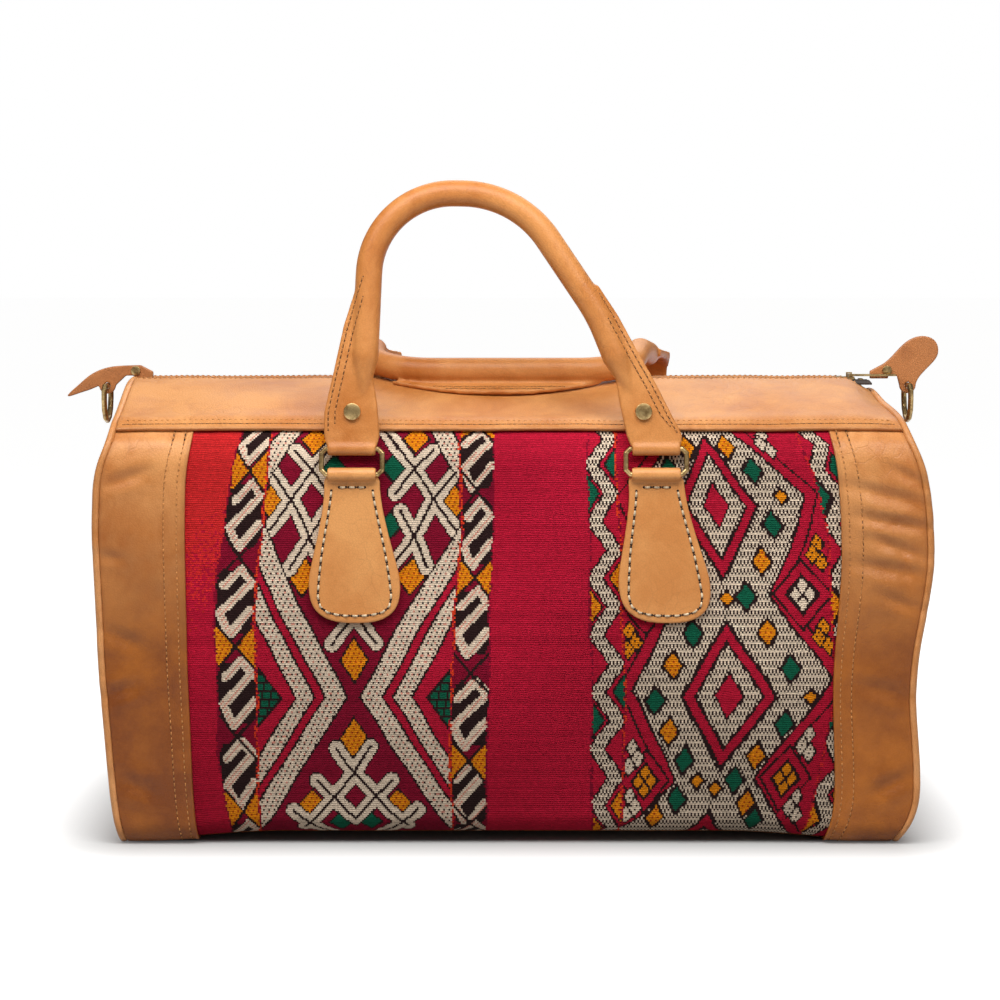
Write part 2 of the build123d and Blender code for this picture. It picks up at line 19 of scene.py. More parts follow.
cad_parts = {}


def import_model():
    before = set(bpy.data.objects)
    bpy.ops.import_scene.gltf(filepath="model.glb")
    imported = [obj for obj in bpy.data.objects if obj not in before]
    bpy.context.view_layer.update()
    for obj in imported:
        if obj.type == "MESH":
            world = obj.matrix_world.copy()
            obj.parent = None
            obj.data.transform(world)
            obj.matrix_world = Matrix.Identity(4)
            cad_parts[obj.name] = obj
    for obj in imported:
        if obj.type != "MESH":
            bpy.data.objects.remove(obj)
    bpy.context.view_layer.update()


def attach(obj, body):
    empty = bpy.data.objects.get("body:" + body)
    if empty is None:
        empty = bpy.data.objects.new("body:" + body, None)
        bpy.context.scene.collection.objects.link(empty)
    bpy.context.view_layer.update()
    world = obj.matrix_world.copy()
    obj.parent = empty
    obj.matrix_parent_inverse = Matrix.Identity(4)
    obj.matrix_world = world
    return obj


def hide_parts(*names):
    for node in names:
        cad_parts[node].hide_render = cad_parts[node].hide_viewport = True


LOG = logging.getLogger("bag")
Points = np.ndarray
Colour = tuple[float, float, float]
Place = tuple[float, float, float]
Thing = bpy.types.Object
Socket = bpy.types.NodeSocket
Links = dict[str | int, object]
MM = 0.001
HIDE = 2.0  # one layer of leather
CLOTH_CREASING = 0.55  # share of the leather's creasing that cloth takes
ROOF_CREASING = 0.6
HANDLE_LEAN = math.radians(5.5)
BAR_Y, BAR_Z = 106.0, 235.866  # the bars on which the handle rings swing
REAR_BAR_X = 90.0


class Side(Enum):
    """The two long sides of the bag."""

    FRONT = -1
    REAR = 1


class End(Enum):
    """The two ends of the bag."""

    LEFT = -1
    RIGHT = 1


def word(choice: Enum) -> str:
    """A choice as it stands in the pieces' names."""
    return choice.name.lower()


def facing(side: Side, ways: Points) -> Points:
    """The same grid lines on one side of the bag, in rising order."""
    return -ways[::-1] if side is Side.FRONT else ways


def smooth(low: float, high: float, value: Points) -> Points:
    """Rises from 0 at low to 1 at high with no corner."""
    t = np.clip((value - low) / (high - low), 0.0, 1.0)
    return t * t * (3 - 2 * t)


def bell(value: Points, middle: float, width: float, power: int = 2) -> Points:
    """Falls from 1 at the middle to about a third at the width."""
    return np.exp(-(((value - middle) / width) ** power))


def spaced(low: float, high: float, step: float, rim: Sequence[float] = ()) -> Points:
    """Even grid lines from low to high, with closer ones beside both ends.

    Args:
        low: First line.
        high: Last line.
        step: Distance between the even lines.
        rim: Distances of the extra lines from each end.

    Returns:
        The sorted places of the lines.
    """
    even = np.linspace(low, high, max(2, int(round((high - low) / step)) + 1))
    free = max(rim, default=0) + step / 3
    keep = [v for v in even[1:-1] if v - low > free and high - v > free]
    extra = [low + r for r in rim] + [high - r for r in rim]
    return np.array(sorted({float(low), float(high), *keep, *extra}))


def along_stroke(x: Points, y: Points, x0: float, y0: float, x1: float, y1: float) -> tuple[Points, Points]:
    """Where points lie beside a straight stroke.

    Args:
        x: Places across.
        y: Places up or down.
        x0, y0: The stroke's start.
        x1, y1: The stroke's end.

    Returns:
        The share of the way along it, from 0 to 1, and the distance from it.
    """
    dx, dy = x1 - x0, y1 - y0
    t = np.clip(((x - x0) * dx + (y - y0) * dy) / (dx * dx + dy * dy), 0, 1)
    return t, np.hypot(x - x0 - t * dx, y - y0 - t * dy)


def line_reach(x: Points, y: Points, line: Sequence[tuple[float, float]]) -> Points:
    """Distance from each point to a broken line."""
    return np.min([along_stroke(x, y, *p, *q)[1] for p, q in zip(line, line[1:])], axis=0)


def line_ways(path: Points) -> Points:
    """Distance along a line at each of its points."""
    return np.concatenate([[0], np.cumsum(np.linalg.norm(np.diff(path, axis=0), axis=1))])


def line_at(way: Points | float, ways: Points, path: Points) -> Points:
    """Points of a line at distances along it."""
    return np.stack([np.interp(way, ways, path[:, k]) for k in range(path.shape[1])], -1)


def densify(path: Points) -> Points:
    """The same line with points about a millimetre apart."""
    ways = line_ways(path)
    return line_at(np.linspace(0, ways[-1], max(3, int(ways[-1]))), ways, path)


def ring_quads(rings: Points) -> Points:
    """Quads between successive rings of point numbers, each ring closed."""
    after = np.roll(rings, -1, axis=1)
    return np.stack([rings[:-1], after[:-1], after[1:], rings[1:]], -1).reshape(-1, 4)


def on_front(u: float, v: float, out: float) -> Place:
    """A point in the front handle's leaning plane: u across, v up from the ring bars and out of the face."""
    lean_y, lean_z = math.sin(HANDLE_LEAN), math.cos(HANDLE_LEAN)
    return u, -BAR_Y + v * lean_y - out * lean_z, BAR_Z + v * lean_z + out * lean_y


@dataclass
class Section:
    """The bag's cross section: flat base, upright sides, rounded shoulders and a low ridge."""

    half_depth: float = 105.0
    ridge: float = 279.0
    eaves: float = 246.5
    base_radius: float = 14.0
    shoulder_radius: float = 30.0
    ridge_radius: float = 120.0
    slope: float = field(init=False)
    shoulder_height: float = field(init=False)
    marks: list[float] = field(init=False)
    length: float = field(init=False)

    def __post_init__(self) -> None:
        """Works out where each run of the section starts, along the skin from the base's middle."""
        self.slope = math.atan((self.ridge - self.eaves) / self.half_depth)
        turn = math.pi / 2 - self.slope
        cut = self.shoulder_radius * math.tan(turn / 2)
        self.shoulder_height = self.eaves - cut
        self.marks = [0.0]
        for run in (
            self.half_depth - self.base_radius,
            self.base_radius * math.pi / 2,
            self.shoulder_height - self.base_radius,
            self.shoulder_radius * turn,
            self.half_depth / math.cos(self.slope) - cut - self.ridge_radius * math.tan(self.slope),
            self.ridge_radius * self.slope,
        ):
            self.marks.append(self.marks[-1] + run)
        self.length = self.marks[-1]

    def at(self, way: Points, inset: Points | float) -> tuple[Points, Points, Points, Points]:
        """Points on the section.

        Args:
            way: Distance along the skin from the base's middle, negative towards the front.
            inset: Depth under the skin.

        Returns:
            Y, Z and the outward normal's Y and Z.
        """
        side = np.where(way < 0, -1.0, 1.0)
        s = np.clip(np.abs(way), 0.0, self.length)
        _, base_end, side_start, shoulder, roof, crown, _ = self.marks
        a, half = self.slope, self.half_depth
        r, q, top = self.base_radius, self.shoulder_radius, self.ridge_radius
        low = np.clip((s - base_end) / r, 0, math.pi / 2)
        high = np.clip((s - shoulder) / q, 0, math.pi / 2 - a)
        tilt = a - np.clip((s - crown) / top, 0, a)
        run = np.clip(s - roof, 0, crown - roof)
        where = [s > crown, s > shoulder, s > side_start, s >= base_end]
        y = np.select(where, [top * np.sin(tilt), half - q + q * np.cos(high) - run * math.cos(a),
                              np.full(s.shape, half), half - r + r * np.sin(low)], s)
        z = np.select(where, [self.ridge - top / math.cos(a) + top * np.cos(tilt),
                              self.shoulder_height + q * np.sin(high) + run * math.sin(a),
                              r + s - side_start, r - r * np.cos(low)], 0.0)
        ny = np.where(s < side_start, np.sin(low), np.where(s < roof, np.cos(high), np.sin(tilt)))
        nz = np.where(s < side_start, -np.cos(low), np.where(s < roof, np.sin(high), np.cos(tilt)))
        return side * (y - inset * ny), z - inset * nz, side * ny, nz

    def way_at_height(self, z: float) -> float:
        """Distance along the skin to a height on the shoulder."""
        turn = math.asin((z - self.shoulder_height) / self.shoulder_radius)
        return self.marks[3] + self.shoulder_radius * turn


@dataclass
class Sag:
    """How the soft body leaves its pattern: swollen ends, a raised middle and creased leather.

    An outline gives how far an end seam stands out at each height. A crease is its start and end,
    each along the bag and up, then its depth and width.
    """

    left_outline: tuple[tuple[float, float], ...] = (
        (0, -11), (8, -8), (16, -6.3), (36, -3.7), (70, -0.6), (103, 2.6), (145, 4.6), (186, 6.6),
        (220, 5.6), (246, -3.5), (262, -3.0), (280, -2.0))
    right_outline: tuple[tuple[float, float], ...] = (
        (0, -17), (6, -11), (18, -3.5), (36, -1.5), (58, -2.6), (86, -4.4), (113, -2.4), (140, 3.0),
        (167, 7.0), (195, 6.2), (222, 2.4), (248, -8.0), (262, -12.0), (280, -17.0))
    creases: tuple[tuple[float, float, float, float, float, float], ...] = (
        (196, 214, 236, 203, 1.5, 3.5), (200, 196, 240, 188, 1.7, 3.0), (206, 183, 238, 171, 1.3, 2.6),
        (198, 168, 236, 160, 1.5, 3.4), (212, 150, 239, 139, 1.2, 2.8), (222, 226, 240, 214, 1.2, 3.0),
        (203, 205, 215, 176, 0.7, 2.5), (224, 180, 230, 150, 0.7, 2.5), (206, 96, 238, 88, 1.1, 4.0),
        (-236, 214, -214, 222, 1.1, 3.5), (-240, 128, -218, 118, 0.9, 4.0), (-239, 88, -222, 96, 1.2, 3.5),
        (-238, 40, -216, 30, 1.0, 4.5), (-240, 172, -226, 170, 0.8, 3.0), (214, 30, 238, 42, 1.2, 4.0))
    crease_gain: float = 1.35
    base_rise: float = 4.5
    roof_droop: float = 9.0
    roof_dip: float = 2.2
    side_swell: float = 1.04
    end_hollow: float = 2.4
    unevenness: float = 0.75

    def ripple(self, p: Points, seed: float = 1.3) -> Points:
        """A slow unevenness between about -1 and 1."""
        x, y, z = p.T
        return (
            np.sin(x / 31 + z / 43 + seed) * np.sin(z / 27 - y / 35 + 1.7 * seed)
            + 0.6 * np.sin(x / 13.5 - z / 19 + 2.3 * seed) * np.sin(z / 16 + y / 21 + 0.6 * seed)
            + 0.3 * np.sin(x / 7.1 + z / 8.3 + 3.1 * seed + np.sin(z / 22))
        ) / 1.5

    def shift(self, z: Points, outline: Sequence[tuple[float, float]]) -> Points:
        """How far an end seam stands out, averaged over 2 cm of height."""
        return np.mean([np.interp(z + d, *zip(*outline)) for d in np.arange(-10.0, 11.0, 2.5)], axis=0)

    def fold(self, x: Points, z: Points) -> Points:
        """Depth of the creases, each with a soft bank beside it."""
        total = np.zeros(len(x))
        for x0, z0, x1, z1, depth, width in self.creases:
            t, away = along_stroke(x, z, x0, z0, x1, z1)
            ends = np.sin(math.pi * np.clip(t, 0.04, 0.96)) ** 0.5
            valley = bell(away, 0, width) - 0.45 * bell(away, 2 * width, width)
            total += self.crease_gain * depth * ends * valley
        return total

    def move(self, p: Points, normal: Points, leather: float = 1.0) -> Points:
        """Moves pattern points to where the filled bag holds them.

        Args:
            p: Points in millimetres, one row each.
            normal: Outward directions, one row each.
            leather: How much of the creasing to take.

        Returns:
            The moved points.
        """
        x, y, z = p.T
        out = p.copy()
        to_end = np.abs(x)
        seams = np.where(x < 0, -self.shift(z, self.left_outline), self.shift(z, self.right_outline))
        out[:, 0] += seams * smooth(150.0, 238.0, to_end)
        out[:, 2] += self.base_rise * (1 - smooth(130.0, 225.0, np.abs(x + 6))) * (1 - smooth(8.0, 78.0, z))
        droop = self.roof_droop * smooth(222.0, 246.0, x) * smooth(250.0, 270.0, z)
        dip = self.roof_dip * bell(np.abs(y), 62, 26) * smooth(244.0, 256.0, z) * np.sin(x / 52 + 1.0)
        out[:, 2] -= droop + dip * (1 - smooth(215.0, 235.0, to_end))
        swell = self.side_swell * bell(z, 128, 70) * (1 - smooth(185.0, 240.0, to_end))
        hollow = self.end_hollow * smooth(200.0, 240.0, to_end) * bell(z, 120, 80)
        off_tabs = 1 - bell(to_end, 90, 34, 4) * smooth(120.0, 150.0, z)
        push = (swell - hollow) * off_tabs * (np.abs(normal[:, 1]) > 0.5)
        soft = self.unevenness * self.ripple(p) * off_tabs * smooth(0.0, 12.0, z)
        push += leather * (soft - self.fold(x, z) * (np.abs(y) > 60))
        return out + normal * push[:, None]


@dataclass
class SheetMesh:
    """Builds cut sheets that wrap round the section as shells with rounded edges."""

    section: Section
    sag: Sag
    edge_round: float = 0.9
    rim_reach: float = 12.0
    map_scale: float = 100.0

    def build(
        self,
        name: str,
        xs: Points,
        ways: Points,
        depth: float,
        thickness: float,
        lift: Callable[[Points, Points], Points] | None = None,
        leather: float = 1.0,
        round_rim: bool = True,
        closed: bool = True,
    ) -> Thing:
        """One sheet.

        Args:
            name: The piece's name.
            xs: Grid lines along the bag.
            ways: Grid lines round the section, along the skin.
            depth: Depth of the sheet's face under the bag's skin.
            thickness: The hide's or cloth's thickness.
            lift: Extra rise of the face at (x, way).
            leather: How much of the creasing to take.
            round_rim: Whether the cut edges are rounded.
            closed: Whether the sheet has a back.

        Returns:
            The new object. Its face comes first, one quad for each cell of the grid.
        """
        x, s = (g.ravel() for g in np.meshgrid(xs, ways, indexing="ij"))
        rim = np.minimum.reduce([x - xs[0], xs[-1] - x, s - ways[0], ways[-1] - s])
        rise = lift(x, s) if lift else np.zeros(len(x))
        r = self.edge_round if round_rim else 0.0
        drop = r - np.sqrt(np.clip(r * r - np.clip(r - rim, 0, r) ** 2, 0, None))
        outer, normal = self.place(x, s, depth - rise + drop)
        inner, _ = self.place(x, s, depth - rise + thickness)
        co = np.vstack([self.sag.move(outer, normal, leather), self.sag.move(inner, normal, leather)])
        n = len(x)
        grid = np.arange(n).reshape(len(xs), len(ways))
        quads = np.stack([grid[:-1, :-1], grid[1:, :-1], grid[1:, 1:], grid[:-1, 1:]], -1).reshape(-1, 4)
        if self.turned(co[quads[0]], normal[0]):
            quads = quads[:, ::-1]
        ring = np.concatenate([grid[:, 0], grid[-1, 1:], grid[-2::-1, -1], grid[0, -2:0:-1]])
        after = np.roll(ring, -1)
        walls = np.stack([ring, after, after + n, ring + n], -1)
        if self.turned(co[walls[3]], co[walls[3][0]] - co[ring].mean(0)):
            walls = walls[:, ::-1]
        faces = np.vstack([quads, walls, *([quads[:, ::-1] + n] if closed else [])])
        used = np.unique(faces)
        made = mesh_object(name, co[used] * MM, np.searchsorted(used, faces))
        rim, x, s = (np.tile(values, 2)[used] for values in (rim, x, s))
        put_attribute(made, "edge", np.clip(rim / self.rim_reach, 0, 1))
        put_uv(made, x / self.map_scale, s / self.map_scale)
        return made

    @staticmethod
    def turned(quad: Points, outward: Points) -> bool:
        """Whether a quad faces away from a direction."""
        return bool(np.dot(np.cross(quad[1] - quad[0], quad[3] - quad[0]), outward) < 0)

    def place(self, x: Points, s: Points, inset: Points | float) -> tuple[Points, Points]:
        """Pattern points and their outward directions before the sag."""
        y, z, ny, nz = self.section.at(s, inset)
        return np.stack([x, y, z], -1), np.stack([np.zeros(len(x)), ny, nz], -1)


def mesh_object(name: str, co: Points, faces: Sequence[Sequence[int]]) -> Thing:
    """An object at the origin with these points, in metres, and faces, shaded smooth."""
    mesh = bpy.data.meshes.new(name)
    mesh.from_pydata(np.asarray(co, float).tolist(), [], [list(map(int, f)) for f in faces])
    mesh.update()
    mesh.shade_smooth()
    return link_object(name, mesh)


def link_object(name: str, data: bpy.types.ID) -> Thing:
    """A new object in the scene."""
    made = bpy.data.objects.new(name, data)
    bpy.context.scene.collection.objects.link(made)
    return made


def put_attribute(made: Thing, name: str, values: Points) -> None:
    """Writes one number per point."""
    made.data.attributes.new(name, "FLOAT", "POINT").data.foreach_set("value", np.asarray(values, np.float32))


def put_uv(made: Thing, u: Points, v: Points) -> None:
    """Writes a UV map from one pair per point."""
    index = np.zeros(len(made.data.loops), np.int64)
    made.data.loops.foreach_get("vertex_index", index)
    layer = made.data.uv_layers.new(name="UVMap")
    layer.data.foreach_set("uv", np.stack([u[index], v[index]], -1).astype(np.float32).ravel())


def select(*pieces: Thing) -> None:
    """Leaves only these objects selected, with the first one active."""
    bpy.ops.object.select_all(action="DESELECT")
    for piece in pieces:
        piece.select_set(True)
    bpy.context.view_layer.objects.active = pieces[0]


def join(*pieces: Thing) -> Thing:
    """Joins objects into the first one."""
    select(*pieces)
    bpy.ops.object.join()
    return pieces[0]


def face_out(made: Thing, merge: float = 0.0) -> None:
    """Merges points nearer than this, in metres, and turns all faces outwards."""
    select(made)
    bpy.ops.object.mode_set(mode="EDIT")
    bpy.ops.mesh.select_all(action="SELECT")
    if merge:
        bpy.ops.mesh.remove_doubles(threshold=merge)
    bpy.ops.mesh.normals_make_consistent(inside=False)
    bpy.ops.object.mode_set(mode="OBJECT")


def dress(made: Thing, materials: Sequence[bpy.types.Material], slot: str, body: str, *nodes: str) -> None:
    """Gives a piece its looks and its place in the frame.

    Args:
        made: The piece.
        materials: Its materials.
        slot: Not used.
        body: The body that it moves with.
        *nodes: The CAD nodes that it stands for.
    """
    made.data.materials.clear()
    for material in materials:
        made.data.materials.append(material)
    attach(made, body)
    if nodes:
        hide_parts(*nodes)
    LOG.info("%s: %d faces", made.name, len(made.data.polygons))


class Yarn(Enum):
    """The yarns of the woven cloth, as linear colours."""

    CRIMSON = (0.490, 0.010, 0.036)
    SCARLET = (0.640, 0.024, 0.026)
    PLUM = (0.240, 0.006, 0.026)
    CREAM = (0.800, 0.640, 0.490)
    BLUSH = (0.740, 0.300, 0.220)
    DARK = (0.026, 0.012, 0.012)
    ORANGE = (0.820, 0.260, 0.008)
    RUST = (0.450, 0.050, 0.008)
    GREEN = (0.006, 0.110, 0.058)
    FLAME = (0.760, 0.050, 0.016)


@dataclass
class FlatWeave:
    """The pattern of the wool: a traditional village flat weave of diamonds, chevrons and hooked bands.

    Places are in the weaver's units, 1.684 to the millimetre, counted right and down. The edges are
    the real borders of the columns at each height, and the lanes are where they would run if straight.
    """

    unit: float = 1.684
    centre: float = 513.0
    ground: float = 846.0
    heights: tuple[float, ...] = (430, 475, 522, 577, 631, 702, 763, 804, 835)
    edges: tuple[tuple[float, ...], ...] = (
        (240.5, 232, 224.5, 216, 214.7, 217, 219, 225.5, 229),
        (271, 267, 262, 256, 255, 256, 258, 258, 259),
        (460, 461, 462, 458, 454, 450, 451, 452, 452),
        (494.5, 494, 493, 491, 490, 488, 487, 486, 486),
        (588, 588, 589, 590, 591, 592, 592, 592, 592),
        (616, 617, 619, 622, 623, 625, 624, 622, 618),
        (799, 815, 825.5, 831, 834, 834.5, 823, 813, 803))
    lanes: tuple[float, ...] = (216, 256, 454, 490, 590, 622, 832)

    def colours(self, x_mm: Points, v_mm: Points, i: Points, j: Points, mirror: bool, seed: int) -> Points:
        """The yarn colour of each stitch, with painted shade that darkens it towards the bottom.

        Args:
            x_mm: Stitch places along the bag.
            v_mm: Stitch heights.
            i: Column numbers.
            j: Row numbers.
            mirror: Whether the cloth is turned round, as on the rear.
            seed: Start of the yarn's unevenness.

        Returns:
            Linear RGB rows.
        """
        rng = np.random.default_rng(seed)
        px = self.centre + (-x_mm if mirror else x_mm) * self.unit
        py = self.ground - v_mm * self.unit
        px = px + 0.9 * np.sin(py / 23.0) + 0.5 * np.sin(py / 9.0 + px / 31.0)
        py = py + 0.8 * np.sin(px / 27.0) + 0.4 * np.sin(px / 8.0)
        u = self.lane_place(px, py)
        self.i, self.j = i, j
        self.pick = np.full(len(px), list(Yarn).index(Yarn.CRIMSON))
        red, left, wide, right, plain, narrow, last = self.lanes
        fade = smooth(-60.0, 60.0, 590 - 0.6 * (px - 170) - py)
        self.paint((u < red) & (rng.random(len(u)) < fade), Yarn.SCARLET)
        self.hooks((u > red) & (u < left), u - (red + left) / 2, py,
                   (431, 516, 602, 694, 775, 858), (471, 647, 812), (557, 738))
        self.hooks((u > wide) & (u < right), u - (wide + right) / 2, py,
                   (379, 457, 533, 622, 714, 794, 858), (418, 577, 761), (490, 673, 826))
        self.chevrons((u > left + 1) & (u < wide - 1), np.abs(u - (left + wide) / 2), py - 698)
        self.zigzag((u > plain) & (u < narrow), u - plain, py - 436.0, 57.0, 32.0)
        self.zigzag(u > last, (u - last) * 1.05, py - 443.0, 54.0, 30.0)
        self.diamonds((u > narrow + 1.5) & (u < last - 1.5), u, py)
        tones = (Yarn.FLAME, Yarn.FLAME, Yarn.FLAME, Yarn.SCARLET)
        for lane, tone in zip((left, wide, narrow, last), tones):
            border = np.abs(u - lane) < 1.5
            bright = border & (rng.random(len(u)) < 0.45)
            self.paint(bright, tone)
            self.paint(border & ~bright & (rng.random(len(u)) < 0.6), Yarn.PLUM)
        border = np.minimum.reduce([np.abs(u - lane) for lane in (red, right, plain)]) < 1.2
        self.paint(border & (rng.random(len(u)) < 0.6), Yarn.PLUM)
        rows = rng.normal(1.0, 0.055, int(j.max()) + 1)[j]
        cells = rng.normal(1.0, 0.085, len(u))
        patch = 1.0 + 0.10 * np.sin(px / 47 + 1.1) * np.sin(py / 61 + 0.4)
        # Painted shade: every yarn darkens to 0.7 towards the bottom of the side, where less light falls.
        painted_low_shade = 0.70 + 0.30 * smooth(20.0, 170.0, v_mm)
        colour = np.array([y.value for y in Yarn])[self.pick]
        return np.clip(colour * (rows * cells * patch * painted_low_shade)[:, None], 0.002, 0.95)

    def lane_place(self, px: Points, py: Points) -> Points:
        """Straightens the wandering column borders: the place across the cloth if each ran true."""
        real = np.stack([np.interp(py, self.heights, e) for e in self.edges])
        lanes = self.lanes
        out = np.where(px < real[0], px - real[0] + lanes[0], px - real[-1] + lanes[-1])
        for k in range(len(lanes) - 1):
            t = (px - real[k]) / (real[k + 1] - real[k])
            inside = (px >= real[k]) & (px < real[k + 1])
            out = np.where(inside, lanes[k] + t * (lanes[k + 1] - lanes[k]), out)
        return out

    def paint(self, where: Points, yarn: Yarn) -> None:
        """Gives stitches one yarn."""
        self.pick[where] = list(Yarn).index(yarn)

    def dots(self) -> Points:
        """Every third stitch of every second row, staggered."""
        return ((self.i + self.j // 2) % 3 == 0) & (self.j % 2 == 0)

    def lozenge(self, where: Points, x: Points, y: Points, half: tuple[float, float], yarn: Yarn,
                spot: Yarn | None = None) -> None:
        """A small diamond with a dark outline.

        Args:
            where: Stitches that it may take.
            x, y: Places from its middle.
            half: Half its width and height.
            yarn: Its own yarn.
            spot: The yarn of its dots.
        """
        m = np.abs(x) / half[0] + np.abs(y) / half[1]
        self.paint(where & (m < 1 + 2.3 / min(half)), Yarn.DARK)
        self.paint(where & (m < 1), yarn)
        if spot is not None:
            self.paint(where & (m < 0.86) & self.dots(), spot)

    def hooks(self, where: Points, du: Points, py: Points, centres: Sequence[float], ties: Sequence[float],
              crossings: Sequence[float]) -> None:
        """A narrow column of S-shaped hooks between bow ties.

        Args:
            where: Stitches of the column.
            du: Places from its middle.
            py: Places down the cloth.
            centres: Heights of the hooks.
            ties: Heights of the orange bow ties.
            crossings: Heights of the plain crossings.
        """
        self.paint(where, Yarn.PLUM)
        hook = ((-12, -15), (5, -33), (16, -20), (-15, 12), (-4, 33), (16, 8))
        across = np.abs(du)
        for middle in centres:
            down = np.abs(py - middle)
            near = where & (down < 41)
            self.paint(near & (across / 19 + down / 44 < 1.42) & (down < 31), Yarn.DARK)
            reach = line_reach(du, py - middle, hook)
            self.paint(near & (reach < 5.2), Yarn.DARK)
            self.paint(near & (reach < 4.2), Yarn.CREAM)
            self.paint(near & (reach < 2.2) & ((self.i + self.j) % 3 == 0), Yarn.BLUSH)
        for middle in ties:
            down = np.abs(py - middle)
            tie = where & (down < 21) & (down < 1.05 * across + 0.5)
            self.paint(tie, Yarn.ORANGE)
            self.paint(tie & self.dots(), Yarn.RUST)
        for middle in (*ties, *crossings):
            down = np.abs(py - middle)
            self.paint(where & (down < 22) & (np.abs(down - 1.15 * across) < 2.2), Yarn.DARK)

    def chevrons(self, where: Points, a: Points, t: Points) -> None:
        """The wide column: dotted chevrons back to back, with crossed double strokes between them.

        Args:
            where: Stitches of the column.
            a: Places from its middle, the same to both sides.
            t: Places down from the chevrons' points.
        """
        up = np.abs(np.where(-t > 195, 390 + t, t))
        slope = np.where(t < 0, 0.52, 0.66)
        inner = 18 + slope * up
        outer = 50 + (slope - 0.02) * up
        self.paint(where & (a < inner), Yarn.PLUM)
        self.paint(where & (np.abs(a - (inner + outer) / 2) < 4.5), Yarn.CRIMSON)
        for middle, half in ((inner, 10.2), (outer, 8.4)):
            off = np.abs(a - middle)
            core = where & (off < half)
            self.paint(where & (off < half + 2.6), Yarn.DARK)
            self.paint(core, Yarn.CREAM)
            self.paint(core & (off < half - 1.2) & self.dots(), Yarn.DARK)
            self.paint(core & (np.abs(off - half * 0.4) < 1.0) & (self.j % 3 == 1), Yarn.BLUSH)
        green = where & (a > 73 + 0.78 * up) & (up < 36)
        mesh = (self.j % 4 == 0) | ((self.i + self.j // 4) % 5 == 0)
        self.paint(green, Yarn.DARK)
        self.paint(green & (a > 76 + 0.78 * up) & ~mesh, Yarn.GREEN)
        self.crosses(where & (a < inner - 12), a, t)

    def crosses(self, where: Points, a: Points, t: Points) -> None:
        """Double cream strokes that cross in a lattice, with small diamonds in the gaps."""
        strokes = (
            ((18, 50), (0, 76), (52, 132)), ((38, 83), (-2, 124)), ((64, 112), (26, 146)),
            ((22, -54), (0, -82), (49, -156), (70, -197), (92, -224)), ((38, -186), (68, -130)),
            ((92, -168), (50, -232), (16, -276)), ((72, -250), (32, -204)), ((0, -300), (34, -250)),
            ((20, -110), (-4, -150)))
        gems = (
            (0, 41, (13, 19), Yarn.ORANGE), (44, 106, (13, 13), Yarn.ORANGE),
            (15, 126, (11, 11), Yarn.GREEN), (0, -37, (13, 21), Yarn.ORANGE),
            (53, -121, (13, 18), Yarn.ORANGE), (31, -230, (12, 14), Yarn.GREEN),
            (53, -262, (13, 16), Yarn.ORANGE), (93, -197, (12, 16), Yarn.ORANGE),
            (28, -172, (11, 13), Yarn.GREEN))
        for x0, y0, half, yarn in gems:
            self.lozenge(where, a - x0, t - y0, half, yarn, Yarn.RUST if yarn is Yarn.ORANGE else None)
        reach = np.min([line_reach(a, t, stroke) for stroke in strokes], axis=0)
        for width, yarn in ((8.6, Yarn.DARK), (7.2, Yarn.CREAM), (1.35, Yarn.DARK)):
            self.paint(where & (reach < width), yarn)

    def knotted(self, where: Points, lean: Points, room: Points) -> None:
        """A cream band of slanting strokes, knotted together between its fringed edges.

        Args:
            where: Stitches of the band.
            lean: Positive where its strokes slant one way.
            room: Distance from its edges.
        """
        self.paint(where, Yarn.DARK)
        slant = np.where(lean > 0, self.i + self.j // 2, self.i - self.j // 2) % 2 == 0
        self.paint(where & slant & (room > 0.2), Yarn.CREAM)
        self.paint(where & ~slant & (room > 2.4) & (self.j % 4 == 1), Yarn.CREAM)

    def zigzag(self, where: Points, du: Points, down: Points, period: float, width: float) -> None:
        """A narrow column with a cream zigzag and half diamonds in its bays.

        Args:
            where: Stitches of the column.
            du: Places from its left border.
            down: Places down from its first turn.
            period: Height of one zigzag.
            width: The column's width.
        """
        self.paint(where, Yarn.CRIMSON)
        phase = (down / period) % 1.0
        off = du - (0.16 + 0.62 * np.abs(phase * 2 - 1)) * width
        turn = np.floor(down / period + 0.5)
        gap = np.floor(down / period)
        half = (11, 17)
        for k, yarn, spot in ((0, Yarn.GREEN, None), (2, Yarn.ORANGE, Yarn.RUST)):
            self.lozenge(where & ((turn - 1) % 4 == k), du, down - turn * period, half, yarn, spot)
            self.lozenge(where & (gap % 4 == k), du - width, down - (gap + 0.5) * period, half, yarn, spot)
        self.paint(where & (np.abs(off) < 9.6), Yarn.DARK)
        self.knotted(where & (np.abs(off) < 8.0), np.where(phase < 0.5, 1, -1) * off, 8.0 - np.abs(off))

